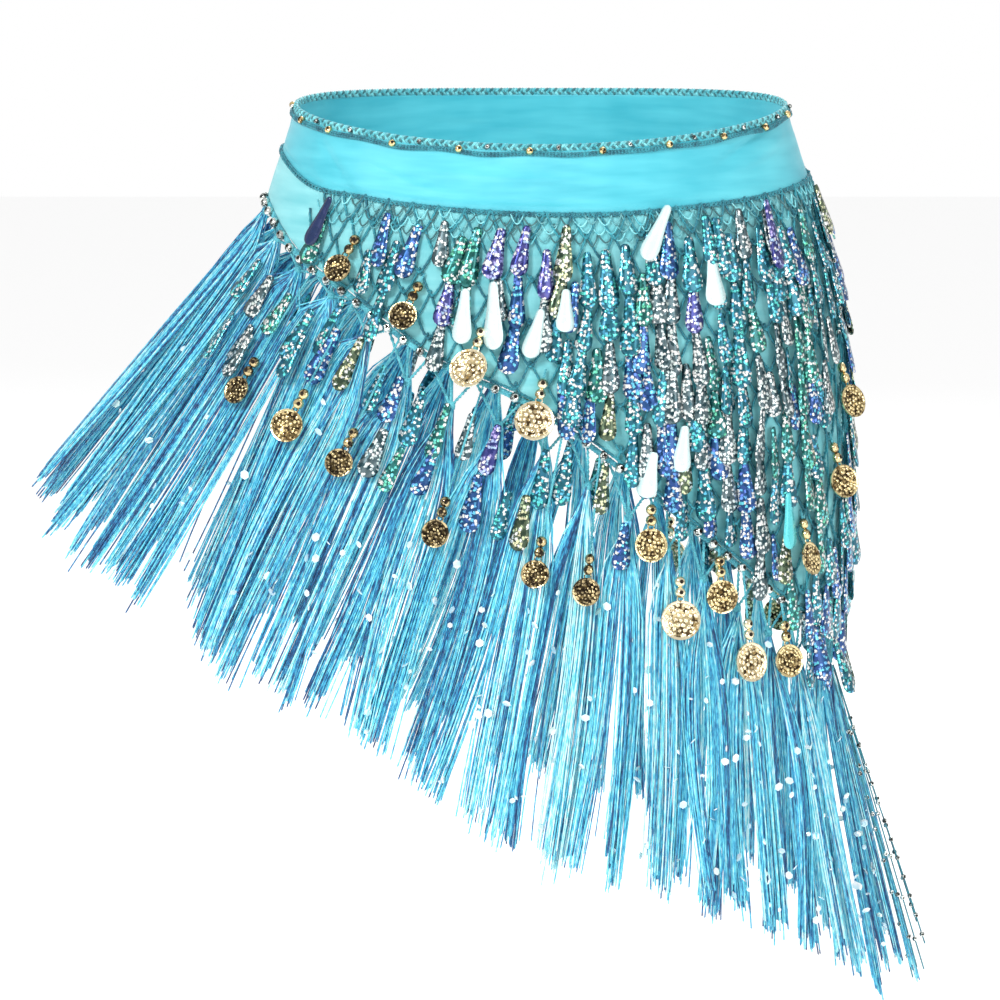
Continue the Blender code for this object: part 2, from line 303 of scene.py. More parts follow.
def cloth_weave_group():
    """Fine stretch weave with a slow drift of tone, and painted shade in thin streaks that run along the
    cloth like faint folds.
    """
    group, given, out = new_group(
        "cloth_weave", ("Color", "Height"), Light=WHITE, Deep=BLACK, Threads=1800.0
    )
    place = node(group, "TexCoord").outputs["UV"]
    drift = noise(group, place, 14.0, 3.0)
    # Painted shade: thin streaks of the deep colour that run along the cloth, like the shade of faint
    # folds.
    fold_shade_map = node(group, "Mapping", [("Vector", place), ("Scale", (18.0, 150.0, 1.0))])
    painted_fold_shade = noise(group, fold_shade_map.outputs[0], 1.0)
    tone = rescale(group, reckon(group, "ADD", drift, painted_fold_shade), 0.75, 1.25)
    group.links.new(between(group, tone, given["Light"], given["Deep"]), out["Color"])
    scaled = node(group, "VectorMath", [(0, place), ("Scale", given["Threads"])], operation="SCALE")
    lines = [("Vector", scaled.outputs[0]), ("Scale", 1.0)]
    warp = node(group, "TexWave", lines, bands_direction="X").outputs[1]
    weft = node(group, "TexWave", lines, bands_direction="Y").outputs[1]
    group.links.new(reckon(group, "MULTIPLY", warp, weft), out["Height"])
    return group


cloth_weave = cloth_weave_group()
lining = group_finish(
    "lining_cloth", cloth_weave,
    {"Light": (0.30, 0.76, 0.80), "Deep": (0.15, 0.58, 0.64), "Threads": 1500.0},
    relief=0.0002, strength=0.5, roughness=0.55, sheen=0.25, specular=0.35,
)
for half_name, half in HALVES:
    panel = cloth_half(
        "panel_" + half_name + "_cloth", half, 120, 36, panel_bottom, panel_top,
        PANEL_WALL, panel_relief, lining,
    )
    wear(panel, "panel_cloth", "panel_" + half_name)
    declare_sheet(half, panel_bottom)

# The waistband is a smooth strip of bright aqua stretch satin, sewn over the panel's top edge.
# It is pulled tight, so it has one deep diagonal crease near the low hip, a few faint ones that
# run along it, and a turned hem at its lower edge.
BAND_WALL = 0.0015
TRIM_DEPTH = 0.0040
HEM_HEIGHT = 0.0035
HEM_WIDTH = 0.0007
HEM_DEPTH = 0.0004
# Start arc and height, end arc and height, width, depth
BAND_CREASES = (
    ((0.118, -0.014), (0.190, 0.010), 0.0028, -0.0018),
    ((0.121, -0.020), (0.196, 0.000), 0.0035, 0.0012),
    ((-0.165, -0.002), (-0.118, -0.034), 0.0030, -0.0014),
    ((-0.172, -0.012), (-0.128, -0.036), 0.0030, 0.0007),
    ((-0.125, -0.012), (-0.070, -0.026), 0.0022, -0.0006),
    ((-0.115, -0.020), (-0.050, -0.030), 0.0022, -0.0005),
    ((-0.090, -0.016), (0.060, -0.022), 0.0030, -0.0005),
    ((-0.010, -0.026), (0.150, -0.020), 0.0025, -0.0005),
    ((-0.060, -0.030), (0.110, -0.033), 0.0025, 0.0005),
    ((0.300, 0.000), (0.380, -0.014), 0.0030, -0.0006),
    ((0.450, -0.010), (0.560, -0.004), 0.0030, 0.0005),
    ((-0.260, -0.002), (-0.225, -0.010), 0.0030, -0.0006),
)


def crease(angles, heights, start, end, width, depth):
    """One soft trough or ridge that runs from start to end, each given as arc and height."""
    arcs = arcs_at(angles)
    run = np.array(end) - np.array(start)
    along = ((arcs - start[0]) * run[0] + (heights - start[1]) * run[1]) / (run @ run)
    away = ((arcs - start[0]) * run[1] - (heights - start[1]) * run[0]) / math.sqrt(run @ run)
    fade = np.sin(np.clip(along, 0, 1) * math.pi) ** 0.7
    return depth * fade * np.exp(-((away / width) ** 2))


def band_relief(angles, heights):
    arcs = arcs_at(angles)
    lift = 0.00012 * np.sin(arcs * 70 + heights * 260) + 0.0001 * np.sin(arcs * 31 - heights * 190)
    for start, end, width, depth in BAND_CREASES:
        lift = lift + crease(angles, heights, start, end, width, depth)
    hem = np.exp(-(((heights - band_bottom(angles) - HEM_HEIGHT) / HEM_WIDTH) ** 2))
    return lift - hem * HEM_DEPTH


def band_top(angles):
    return top_height(angles) - TRIM_DEPTH


satin = group_finish(
    "band_satin", cloth_weave,
    {"Light": (0.105, 0.60, 0.70), "Deep": (0.045, 0.46, 0.57), "Threads": 2600.0},
    relief=0.0001, strength=0.35, roughness=0.36, sheen=0.2, specular=0.5,
)
for half_name, half in HALVES:
    band = cloth_half(
        "waistband_" + half_name + "_cloth", half, 210, 28, band_bottom, band_top,
        BAND_WALL, band_relief, satin,
    )
    wear(band, "waistband_cloth", "waistband_" + half_name)
    declare_sheet(half, band_bottom)

# The top trim is a crocheted cord of aqua and teal thread, worked along the band's top edge.
# A looser chain runs below it on the band, and one more covers the band's lower seam. Small gold
# and silver beads are worked in as it goes.
TRIM_BEAD = 0.0022
SEED_BEAD = 0.0014
# Strand radius, pitch, half width, half depth, distance out, number of strands
TOP_BRAID = (0.0008, 0.0066, 0.0016, 0.0007, BAND_WALL / 2, 3)
TOP_CHAIN = (0.0007, 0.0046, 0.0009, 0.0004, BAND_WALL + 0.0010, 2)
SEAM_CHAIN = (0.0006, 0.0062, 0.0010, 0.0004, BAND_WALL + 0.0008, 2)
BRAID_TINTS = (1.1, 0.35, 0.85)
TRIM_BEAD_ARCS = (-0.190, -0.156, -0.102, -0.055, -0.008, 0.040, 0.086, 0.128, 0.168, 0.205)
BACK_BEAD_SPACING = 0.047


def with_ends(path):
    """The path with one more point just inside each end, so that a thread there closes bluntly."""
    first = path[0] + (path[1] - path[0]) * 0.05
    last = path[-1] + (path[-2] - path[-1]) * 0.05
    return np.vstack((path[:1], first, path[1:-1], last, path[-1:]))


def threads_piece(name, paths, radius, material, sides=6, tints=None):
    """Round threads along their paths, closed at both ends, as one mesh."""
    paths = [with_ends(path) for path in paths]
    curve = bpy.data.curves.new(name, "CURVE")
    curve.dimensions = "3D"
    curve.bevel_depth = 1.0
    curve.bevel_resolution = sides // 2 - 2
    for path in paths:
        spline = curve.splines.new("POLY")
        spline.points.add(len(path) - 1)
        spline.points.foreach_set("co", np.c_[path, np.ones(len(path))].astype(np.float32).ravel())
        sizes = np.full(len(path), radius)
        sizes[[0, -1]] = 0.0
        spline.points.foreach_set("radius", sizes.astype(np.float32))
    source = bpy.data.objects.new(name + "_line", curve)
    bpy.context.scene.collection.objects.link(source)
    shapes = bpy.context.evaluated_depsgraph_get()
    mesh = bpy.data.meshes.new_from_object(source.evaluated_get(shapes))
    bpy.data.objects.remove(source)
    mesh.name = name
    if tints is not None:
        rings = [len(path) * sides for path in paths]
        tint = mesh.attributes.new("tint", "FLOAT", "POINT")
        tint.data.foreach_set("value", np.repeat(np.asarray(tints, np.float32), rings))
    bm = bmesh.new()
    bm.from_mesh(mesh)
    bmesh.ops.remove_doubles(bm, verts=bm.verts, dist=0.000005)
    bm.to_mesh(mesh)
    bm.free()
    mesh.shade_smooth()
    mesh.materials.clear()
    mesh.materials.append(material)
    return bpy.data.objects.new(name, mesh)


def half_arcs(span, step):
    ends = arcs_at(span)
    return np.arange(ends[0] + 0.0004, ends[1] - 0.0004, step)


def braided(name, angles, along, height, cord, material, tints=None):
    """Strands that cross over each other as they run round the hips at a given height."""
    radius, pitch, wide, deep, out, strands = cord
    paths = []
    for strand in range(strands):
        turn = along / pitch * math.tau + strand * math.tau / strands
        rise = height(angles) + wide * np.sin(turn)
        paths.append(hip_points(angles, rise, out + deep * np.sin(2 * turn)))
    return threads_piece(name, paths, radius, material, tints=tints)


def braid_height(angles):
    return top_height(angles) - 0.0024


def chain_height(angles):
    arcs = arcs_at(angles)
    return top_height(angles) - 0.0057 - 0.0008 * np.sin(arcs * 46) ** 2 - 0.0004 * np.sin(arcs * 118)


def seam_height(angles):
    return band_bottom(angles) - 0.0004


def thread_fibre_group():
    """Twisted thread: painted highlight on the crowns, painted shade between the plies, with a slow
    change of tone.
    """
    group, given, out = new_group("thread_fibre", ("Color", "Height"), Light=WHITE, Deep=BLACK, Tone=60.0)
    place = node(group, "TexCoord").outputs["Object"]
    tone = noise(group, place, given["Tone"])
    fine = noise(group, place, 1700.0, 1.0)
    # The fine relief also sets the colour: painted shade in its hollows and painted highlight on its
    # crowns, over a slow change of tone.
    spread = rescale(group, reckon(group, "ADD", tone, fine), 0.78, 1.22)
    group.links.new(between(group, spread, given["Deep"], given["Light"]), out["Color"])
    group.links.new(fine, out["Height"])
    return group


thread_fibre = thread_fibre_group()


def thread_finish(name, light, deep, tone, tinted=False):
    """Thread. Where it is tinted, each strand's own tint sets how light it is."""
    values = {"Light": light, "Deep": deep, "Tone": tone}
    material = group_finish(
        name, thread_fibre, values, 0.0003, 0.6, roughness=0.5, sheen=0.15, specular=0.4
    )
    if tinted:
        tree = material.node_tree
        color = tree.nodes["Principled BSDF"].inputs["Base Color"]
        tint = node(tree, "Attribute", attribute_name="tint").outputs["Fac"]
        shade = node(tree, "HueSaturation", [("Value", tint), ("Color", color.links[0].from_socket)])
        tree.links.new(shade.outputs[0], color)
    return material


def bead_metal_group():
    """Plated metal: bright, with painted dark reflection in random patches, darkest between the middles
    of its small pits.
    """
    group, given, out = new_group(
        "bead_metal", ("Color", "Height", "Roughness"), Bright=WHITE, Dark=BLACK, Pits=500.0, Grime=0.4
    )
    place = node(group, "TexCoord").outputs["Object"]
    pits = node(group, "TexVoronoi", [("Vector", place), ("Scale", given["Pits"])]).outputs["Distance"]
    # Painted reflection: random patches of the surface take the dark colour, as if they mirrored a dark
    # room.
    dark_reflection_patches = reckon(group, "LESS_THAN", noise(group, place, 240.0, 3.0), given["Grime"])
    painted_dark_reflection = rescale(group, reckon(group, "MULTIPLY", pits, dark_reflection_patches), 0.15, 0.6)
    group.links.new(between(group, painted_dark_reflection, given["Bright"], given["Dark"]), out["Color"])
    group.links.new(pits, out["Height"])
    group.links.new(rescale(group, painted_dark_reflection, 0.0, 1.0, 0.18, 0.5), out["Roughness"])
    return group


bead_metal = bead_metal_group()


def metal_finish(name, bright, dark, pits, dark_reflection_share, relief):
    values = {"Bright": bright, "Dark": dark, "Pits": pits, "Grime": dark_reflection_share}
    return group_finish(name, bead_metal, values, relief, 0.6, roughness=0.25, metallic=1.0)


def bead(bm, radius, around, hole):
    """A round bead, with a sunk hole at both ends of its axis, in painted shade."""
    ball = bmesh.ops.create_uvsphere(bm, u_segments=around, v_segments=8, radius=radius)["verts"]
    for pole in [v for v in ball if abs(v.co.z) > radius * 0.99]:
        pole.co.z *= 0.35
        for face in pole.link_faces:
            face.material_index = hole
    return ball


def beads_piece(name, places, facings, radius, metal):
    """Beads as one mesh, each with the axis of its hole turned to its facing."""
    bm = bmesh.new()
    for place, facing in zip(places, facings):
        ball = bead(bm, radius, 10, 1)
        turn = Vector((0, 0, 1)).rotation_difference(Vector(facing)).to_matrix()
        bmesh.ops.rotate(bm, verts=ball, matrix=turn)
        bmesh.ops.translate(bm, verts=ball, vec=Vector(place))
    piece = mesh_piece(name, bm, metal)
    piece.data.materials.append(bead_hole)
    return piece


def ramp(tree, source, *stops):
    """A colour ramp through stops of a place and a colour."""
    made = tree.nodes.new("ShaderNodeValToRGB")
    while len(made.color_ramp.elements) < len(stops):
        made.color_ramp.elements.new(0.5)
    for element, (place, color) in zip(made.color_ramp.elements, stops):
        element.position = place
        element.color = (*color, 1.0)
    tree.links.new(source, made.inputs[0])
    return made.outputs[0]


def hole_finish():
    material, tree, shader = finish_with("bead_hole", 0.6, metallic=0.6)
    # Painted shade: the inside of a bead's hole, near black with a faint mottle.
    hole_shade_mottle = noise(tree, node(tree, "TexCoord").outputs["Object"], 900.0)
    color = ramp(tree, hole_shade_mottle, (0.4, (0.010, 0.008, 0.006)), (0.7, (0.05, 0.035, 0.02)))
    tree.links.new(color, shader.inputs["Base Color"])
    return material


bead_hole = hole_finish()
trim_light = thread_finish("trim_thread_light", (0.26, 0.74, 0.78), (0.05, 0.40, 0.48), 150.0, True)
trim_deep = thread_finish("trim_thread_deep", (0.04, 0.33, 0.40), (0.006, 0.08, 0.12), 170.0)
bead_gold = metal_finish("bead_gold", (0.90, 0.68, 0.34), (0.09, 0.05, 0.02), 900.0, 0.46, 0.0002)
bead_silver = metal_finish("bead_silver", (0.80, 0.84, 0.80), (0.05, 0.06, 0.06), 900.0, 0.50, 0.0002)
for half_name, half in HALVES:
    arcs, close_arcs = half_arcs(half, 0.0009), half_arcs(half, 0.0007)
    angles = angles_at(arcs)
    braid = braided(
        "trim_braid_" + half_name, angles, arcs, braid_height, TOP_BRAID, trim_light, BRAID_TINTS
    )
    wear(braid, "trim_thread", "edge_trim_" + half_name)
    chain = braided(
        "trim_chain_" + half_name, angles_at(close_arcs), close_arcs, chain_height, TOP_CHAIN, trim_deep
    )
    wear(chain, "trim_thread")
    seam = braided("band_seam_chain_" + half_name, angles, arcs, seam_height, SEAM_CHAIN, trim_deep)
    wear(seam, "trim_thread")
bead_arcs = np.concatenate((TRIM_BEAD_ARCS, np.arange(0.255, 0.690, BACK_BEAD_SPACING)))
angles = angles_at(bead_arcs)
places = hip_points(angles, chain_height(angles) + 0.0012, BAND_WALL + 0.0018)
facings = out_directions(angles, chain_height(angles)) + (0.5, 0.0, 0.3)
wear(beads_piece("trim_beads", places, facings, TRIM_BEAD, bead_gold), "gold_metal")
angles = angles_at(bead_arcs + 0.019)
places = hip_points(angles, braid_height(angles), BAND_WALL + 0.0014)
facings = out_directions(angles, braid_height(angles))
wear(beads_piece("trim_seed_beads", places, facings, SEED_BEAD, bead_silver), "gold_metal")

# The net is hand crocheted in teal thread over the lining. Its open loops overlap like fish
# scales and grow row by row from the band down to the slanted edge. Each is a twisted chain,
# hooked with a small knot into the loops above.
NET_THREAD = 0.00062
LOOP_WIDE = 0.0165
LOOP_PITCH = 0.0118
LOOP_DEEP = 0.0148
LOOP_POINTS = 19
LOOP_TWIST = 5.5
NET_ROWS = 30
# Rise and depth of the twist of a loop's two plies, and how far its middle stands out
PLY_RISE = 0.00065
PLY_DEPTH = 0.0005
LOOP_SWELL = 0.0009
NET_KNOT = 0.0013
LACE_THREAD = 0.0005
LACE_WIDE = 0.0075
LACE_PITCH = 0.0048
LACE_DEEP = 0.0060
LACE_TINTS = (0.25, 0.6, 1.05)
NET_OUT = PANEL_WALL + 0.0010


def plain_corner(angle, height):
    """True in the triangle of bare lining below the band at the tied side."""
    return math.sin(angle) < -0.80 and height > panel_bottom(angle) - 0.002


def net_loops(draw, span):
    """Paths of the net's loops in one half, and the places of the knots between them."""
    ends = arcs_at(span)
    t = np.linspace(0.0, 1.0, LOOP_POINTS)
    sag = 1 - np.abs(2 * t - 1) ** 1.45
    paths, knots = [], []
    for row in range(NET_ROWS):
        stagger = LOOP_WIDE / 2 * (row % 2)
        for start in np.arange(ends[0] + 0.001 + stagger, ends[1] - LOOP_WIDE, LOOP_WIDE):
            middle = angles_at(start + LOOP_WIDE / 2)
            top = band_bottom(middle) + 0.001 - row * LOOP_PITCH
            deep = LOOP_DEEP * draw.uniform(0.92, 1.06)
            shift = draw.normal(0.0, 0.0005)
            angles = angles_at(start + shift + LOOP_WIDE * t)
            edge = panel_bottom(angles) + 0.0008
            if top < edge.min() + 0.003 or plain_corner(middle, top):
                continue
            for ply in (0, 1):
                turn = t * math.tau * LOOP_TWIST + ply * math.pi
                heights = np.maximum(top - deep * sag, edge) + PLY_RISE * np.sin(turn)
                out = NET_OUT + PLY_DEPTH * np.cos(turn) + LOOP_SWELL * sag
                paths.append(hip_points(angles, heights, out))
            if top - deep > edge[LOOP_POINTS // 2]:
                knots.append(hip_points(angles[LOOP_POINTS // 2], top - deep * 0.985, NET_OUT + 0.0012))
    return paths, knots


def lace_loops(draw, span):
    """Paths of the small close loops in the first rows below the band."""
    ends = arcs_at(span)
    t = np.linspace(0.0, 1.0, 10)
    paths = []
    for row in range(3):
        stagger = LACE_WIDE / 2 * (row % 2)
        for start in np.arange(ends[0] + 0.001 + stagger, ends[1] - LACE_WIDE * 1.4, LACE_WIDE):
            middle = angles_at(start + LACE_WIDE / 2)
            top = band_bottom(middle) - 0.0008 - row * LACE_PITCH + draw.normal(0.0, 0.0004)
            if plain_corner(middle, top):
                continue
            wide = LACE_WIDE * draw.uniform(1.0, 1.35)
            angles = angles_at(start + wide * t)
            sag = np.sin(t * math.pi)
            deep = LACE_DEEP * draw.uniform(0.8, 1.2)
            paths.append(hip_points(angles, top - deep * sag, NET_OUT + 0.0010 * sag))
    return paths


def knots_piece(name, places, radius, shape, detail, material):
    """Small round knots as one mesh, pulled a little out of round."""
    bm = bmesh.new()
    for place in places:
        lump = bmesh.ops.create_icosphere(bm, subdivisions=detail, radius=radius)["verts"]
        bmesh.ops.scale(bm, verts=lump, vec=shape)
        bmesh.ops.translate(bm, verts=lump, vec=Vector(place))
    return mesh_piece(name, bm, material)


net_finish = thread_finish("net_thread", (0.035, 0.33, 0.40), (0.005, 0.10, 0.15), 110.0)
lace_finish = thread_finish("lace_thread", (0.30, 0.76, 0.80), (0.06, 0.42, 0.50), 140.0, True)
draw = np.random.default_rng(3)
for half_name, half in HALVES:
    paths, knots = net_loops(draw, half)
    net = threads_piece("net_" + half_name + "_loops", paths, NET_THREAD, net_finish, sides=4)
    wear(net, "net_thread", "net_" + half_name)
    lace = lace_loops(draw, half)
    tints = draw.choice(LACE_TINTS, len(lace))
    lace = threads_piece("net_" + half_name + "_lace", lace, LACE_THREAD, lace_finish, 4, tints)
    wear(lace, "net_thread")
    knots = knots_piece("net_" + half_name + "_knots", knots, NET_KNOT, (1.1, 1.1, 0.8), 1, net_finish)
    wear(knots, "net_thread")

# The beaded edge is a crocheted chain of aqua and teal thread along the slanted lower edge of the
# cloth, with a small silver bead worked in at every other stitch.
EDGE_CORD = 0.0022
# Strand radius, pitch, half width, half depth, distance out, number of strands
EDGE_CHAIN = (0.0009, 0.0059, 0.0012, 0.0005, PANEL_WALL / 2, 3)
EDGE_BEAD = 0.0029
EDGE_BEAD_SPACING = 0.0118


def edge_slope(angles):
    ahead = form_points(angles + 0.01, panel_bottom(angles + 0.01))
    behind = form_points(angles - 0.01, panel_bottom(angles - 0.01))
    step = ahead - behind
    return step[..., 2] / np.hypot(step[..., 0], step[..., 1])


def below_edge(angles, distance):
    return panel_bottom(angles) - distance * np.hypot(1, edge_slope(angles))


def edge_cord_height(angles):
    return below_edge(angles, EDGE_CORD + SEAM_GAP)


def edge_run(span):
    """Angles along a half of the lower edge, and the length of the edge up to each."""
    angles = np.linspace(span[0] + 0.002, span[1] - 0.002, 600)
    points = form_points(angles, panel_bottom(angles))
    lengths = np.concatenate(([0.0], np.cumsum(np.linalg.norm(np.diff(points, axis=0), axis=1))))
    return angles, lengths


edge_thread = thread_finish("edge_thread", (0.14, 0.58, 0.66), (0.02, 0.22, 0.30), 140.0)
for half_name, half in HALVES:
    name = "beaded_edge_" + half_name
    run_angles, run_lengths = edge_run(half)
    along = np.arange(0.0, run_lengths[-1], 0.0009)
    angles = np.interp(along, run_lengths, run_angles)
    edge = braided(name + "_chain", angles, along, edge_cord_height, EDGE_CHAIN, edge_thread)
    wear(edge, "trim_thread", name)
    stops = np.arange(0.004, run_lengths[-1] - 0.003, EDGE_BEAD_SPACING)
    angles = np.interp(stops, run_lengths, run_angles)
    places = hip_points(angles, edge_cord_height(angles), PANEL_WALL / 2 + 0.0022)
    facings = out_directions(angles, edge_cord_height(angles)) + (0.25, 0.0, 0.25)
    wear(beads_piece(name + "_beads", places, facings, EDGE_BEAD, bead_silver), "gold_metal")

# The fringe hangs from open V threads below the beaded edge. Each V ends in a knot, and from each
# knot fall three locks of long shiny rayon thread. The dance swings it all to the tied side.
BUNCHES_PER_SIDE = 18
SECTIONS_PER_SIDE = 3
HEADER_HEIGHT = 0.018
HEADER_TOP = 2 * EDGE_CORD + SEAM_GAP + 0.0007
LOCKS = 3
LOCK_THREADS = (24, 36)
LOCK_SPREAD = 0.0040
FRINGE_THREAD = 0.00046
FRINGE_POINTS = 12
STAND_OFF = 0.06
GATHER_LENGTH = 0.030
FRINGE_KNOT = 0.0026
V_THREAD = 0.0006
# How unevenly locks and threads hang: lean, distance out, length of a lock, length of a thread
LEAN_SPREAD = 0.038
STAND_OFF_SPREAD = 0.014
LOCK_LENGTH_SPREAD = 0.022
THREAD_LENGTH_SPREAD = 0.024
# How much steeper the fringe falls where it starts close below the edge
STEEPER = 0.065
# Tints of the deep, plain and light threads of a lock, and the share of each
THREAD_TINTS = (-0.38, 0.0, 0.27)
THREAD_SHARES = (0.26, 0.42, 0.32)
# Where the threads of a V start, as shares of its width
V_STARTS = (-0.46, 0.0, 0.46)
# Side, lean of X per metre down, length
FRINGE_HANG = (
    (-1.00, -0.78, 0.188),
    (-0.71, -0.52, 0.191),
    (-0.38, -0.42, 0.188),
    (-0.18, -0.31, 0.196),
    (0.06, -0.21, 0.209),
    (0.25, -0.08, 0.199),
    (0.52, 0.00, 0.178),
    (0.78, 0.05, 0.169),
    (1.00, 0.16, 0.179),
)


def hang_directions(angles, heights, stand_off, more_lean=0.0):
    lean = read_table(FRINGE_HANG, np.sin(angles), 1) + more_lean
    out = out_directions(angles, heights)
    down = (lean + out[..., 0] * stand_off, out[..., 1] * stand_off, -np.ones(lean.shape))
    down = np.stack(down, axis=-1)
    return down / np.linalg.norm(down, axis=-1, keepdims=True)


def edge_angles(run, shares):
    """Angles at shares of the length of a half's lower edge."""
    angles, lengths = run
    return np.interp(shares * lengths[-1], lengths, angles)


def header_share(angles):
    """How much of the open header there is: on the tied side the fringe starts at the edge."""
    return np.interp(np.sin(angles), (-1.0, -0.64, -0.44), (0.26, 0.32, 1.0))


def header_end(angles):
    return HEADER_TOP + HEADER_HEIGHT * header_share(angles)


def fringe_lock(draw, share, knot, run):
    """Paths and tints of one lock: its threads fan out from the knot and close up towards the tip."""
    count = int(draw.integers(*LOCK_THREADS))
    t = np.linspace(0.0, 1.0, FRINGE_POINTS)[None, :, None] ** 1.1
    shares = np.clip(share + draw.normal(0.0, LOCK_SPREAD / run[1][-1], count), 0.002, 0.998)
    angles = edge_angles(run, shares)
    heights = below_edge(angles, header_end(angles))
    layers = PANEL_WALL / 2 + draw.uniform(-0.0008, 0.0030) + draw.normal(0.0, 0.0007, count)
    roots = hip_points(angles, heights, layers)
    center = edge_angles(run, np.clip(share, 0.004, 0.996))
    middle = hip_points(center, below_edge(center, header_end(center)), layers.mean())
    stand_off = STAND_OFF + draw.normal(0.0, STAND_OFF_SPREAD)
    steeper = STEEPER * (1 - float(header_share(center)))
    down = hang_directions(center, middle[2], stand_off, draw.normal(steeper, LEAN_SPREAD))
    side = np.cross(down, out_directions(center, middle[2]))
    length = float(read_table(FRINGE_HANG, np.sin(center), 2))
    length *= 1 + draw.normal(0.0, LOCK_LENGTH_SPREAD)
    length += HEADER_HEIGHT * (1 - float(header_share(center)))
    lengths = (length * (1 + draw.normal(-0.012, THREAD_LENGTH_SPREAD, count)))[:, None, None]
    closing = 1 - (1 - draw.uniform(0.40, 1.15)) * t ** 1.2
    bow = side * draw.normal(0.0, 0.0035) * np.sin(t * math.pi)
    drift = side * (draw.normal(0.0, 0.0014, count)[:, None, None] * t ** 2)
    wave = side * (0.0006 * np.sin(t * 9 + draw.uniform(0, math.tau, count)[:, None, None]) * t)
    free = middle + down * lengths * t + (roots - middle)[:, None, :] * closing + bow + drift + wave
    starts = knot + draw.normal(0.0, 1.0, (count, 1, 3)) * (0.0008, 0.0006, 0.0006)
    held = starts + down * lengths * t
    gather = np.exp(-((lengths * t / (GATHER_LENGTH * header_share(center))) ** 1.5))
    paths = free * (1 - gather) + held * gather
    tone = 0.5 + draw.normal(0.0, 0.10)
    tints = tone + draw.choice(THREAD_TINTS, count, p=THREAD_SHARES)
    tints = np.clip(tints + draw.normal(0.0, 0.08, count), 0.0, 1.0)
    return list(paths), list(tints)


def rayon_finish():
    """Shiny rayon thread. Each has its own tint, and the glints of its twist are painted into its colour
    as light and deep specks.
    """
    material, tree, shader = finish_with("fringe_rayon", 0.34, sheen=0.1, specular=0.6)
    tint = node(tree, "Attribute", attribute_name="tint").outputs["Fac"]
    place = node(tree, "TexCoord").outputs["Object"]
    apart = node(tree, "VectorMath", [(0, place), (1, tint)], operation="ADD")
    long = node(tree, "Mapping", [("Vector", apart.outputs[0]), ("Scale", (520.0, 520.0, 190.0))])
    # Painted glints: a stretched noise makes each thread lighter and deeper in specks along its length.
    swing = rescale(tree, noise(tree, long.outputs[0], 1.0), 0.3, 0.7, -0.30, 0.30)
    color = ramp(
        tree, reckon(tree, "ADD", tint, swing),
        (0.0, (0.004, 0.050, 0.170)), (0.20, (0.014, 0.190, 0.430)), (0.42, (0.055, 0.450, 0.680)),
        (0.64, (0.140, 0.680, 0.830)), (0.84, (0.340, 0.830, 0.900)), (1.0, (0.660, 0.940, 0.960)),
    )
    tree.links.new(color, shader.inputs["Base Color"])
    bump_into(tree, shader, noise(tree, place, 1100.0, 1.0), 0.0003, 0.5)
    return material


def twisted(start, end, plies, radius, turns, points):
    """The plies of a short straight cord twisted together from start to end."""
    t = np.linspace(0.0, 1.0, points)[:, None]
    line = start + (end - start) * t
    made = []
    for ply in range(plies):
        turn = t * turns * math.tau + ply * math.tau / plies
        made.append(line + np.c_[np.cos(turn), 0.5 * np.cos(turn), np.sin(turn)] * radius)
    return made


rayon = rayon_finish()
draw = np.random.default_rng(7)
knots, v_paths = [], []
per_section = BUNCHES_PER_SIDE // SECTIONS_PER_SIDE
for half_name, half in HALVES:
    run = edge_run(half)
    for section in range(SECTIONS_PER_SIDE):
        paths, tints = [], []
        for bunch in range(section * per_section, (section + 1) * per_section):
            share = (bunch + 0.5) / BUNCHES_PER_SIDE
            low = edge_angles(run, share)
            knot = hip_points(low, below_edge(low, header_end(low) - 0.002), PANEL_WALL / 2)
            knots.append(knot)
            for lock in range(LOCKS):
                step = ((lock + 0.5) / LOCKS - 0.5) / BUNCHES_PER_SIDE
                lock_share = share + step + draw.normal(0.0, 0.0030)
                lock_paths, lock_tints = fringe_lock(draw, lock_share, knot, run)
                paths += lock_paths
                tints += lock_tints
            for end in V_STARTS:
                high = edge_angles(run, np.clip(share + end / BUNCHES_PER_SIDE, 0.003, 0.997))
                top = hip_points(high, below_edge(high, HEADER_TOP - 0.0012), PANEL_WALL / 2)
                v_paths += twisted(top, knot, 2, 0.0005, 4, 16)
        name = f"fringe_{half_name}_{section + 1}"
        fringe = threads_piece(name + "_threads", paths, FRINGE_THREAD, rayon, sides=4, tints=tints)
        wear(fringe, "fringe_thread", name)
v_threads = threads_piece("fringe_v_threads", v_paths, V_THREAD, edge_thread, sides=4)
wear(v_threads, "trim_thread")
knots = knots_piece("fringe_knots", knots, FRINGE_KNOT, (1.0, 0.8, 1.2), 2, edge_thread)
wear(knots, "trim_thread")

# The coins are stamped from thin brass, with a narrow raised rim, a sunk field painted dark as a dark
# reflection, and rings of bright bosses on it. Each hangs by a ring on a teal thread that carries two
# hollow gold beads, from the beaded edge or from the net.
COIN_WALL = 0.0011
# Thickness of the cloth and the net that the strings start in front of
CLOTH_SOLID = 0.0015
NET_SOLID = 0.0010
COIN_STAND_OFF = 0.14
NET_COIN_TILT = 0.26
COIN_BEAD = 0.0032
STRING_RADIUS = 0.0006
STRING_THREAD = 0.0005
STRING_TWIST = 0.0004
# A string longer than this carries two beads, this many bead radii above the coin's ring
BEADED_STRING = 0.012
BEADS_ABOVE = (3.3, 1.4)
RING_RADIUS = 0.0019
RING_WIRE = 0.0004
RING_RISE = 0.0008
# Room round a coin and round its beads that the sequins leave free
COIN_ROOM = 0.003
BEADS_ROOM = 0.006
# Rings of bosses on a coin: share of its radius, number
BOSS_RINGS = ((0.0, 1), (0.27, 6), (0.53, 12), (0.76, 17))
SMALL, MIDDLE, LARGE = 0.0080, 0.0095, 0.0112
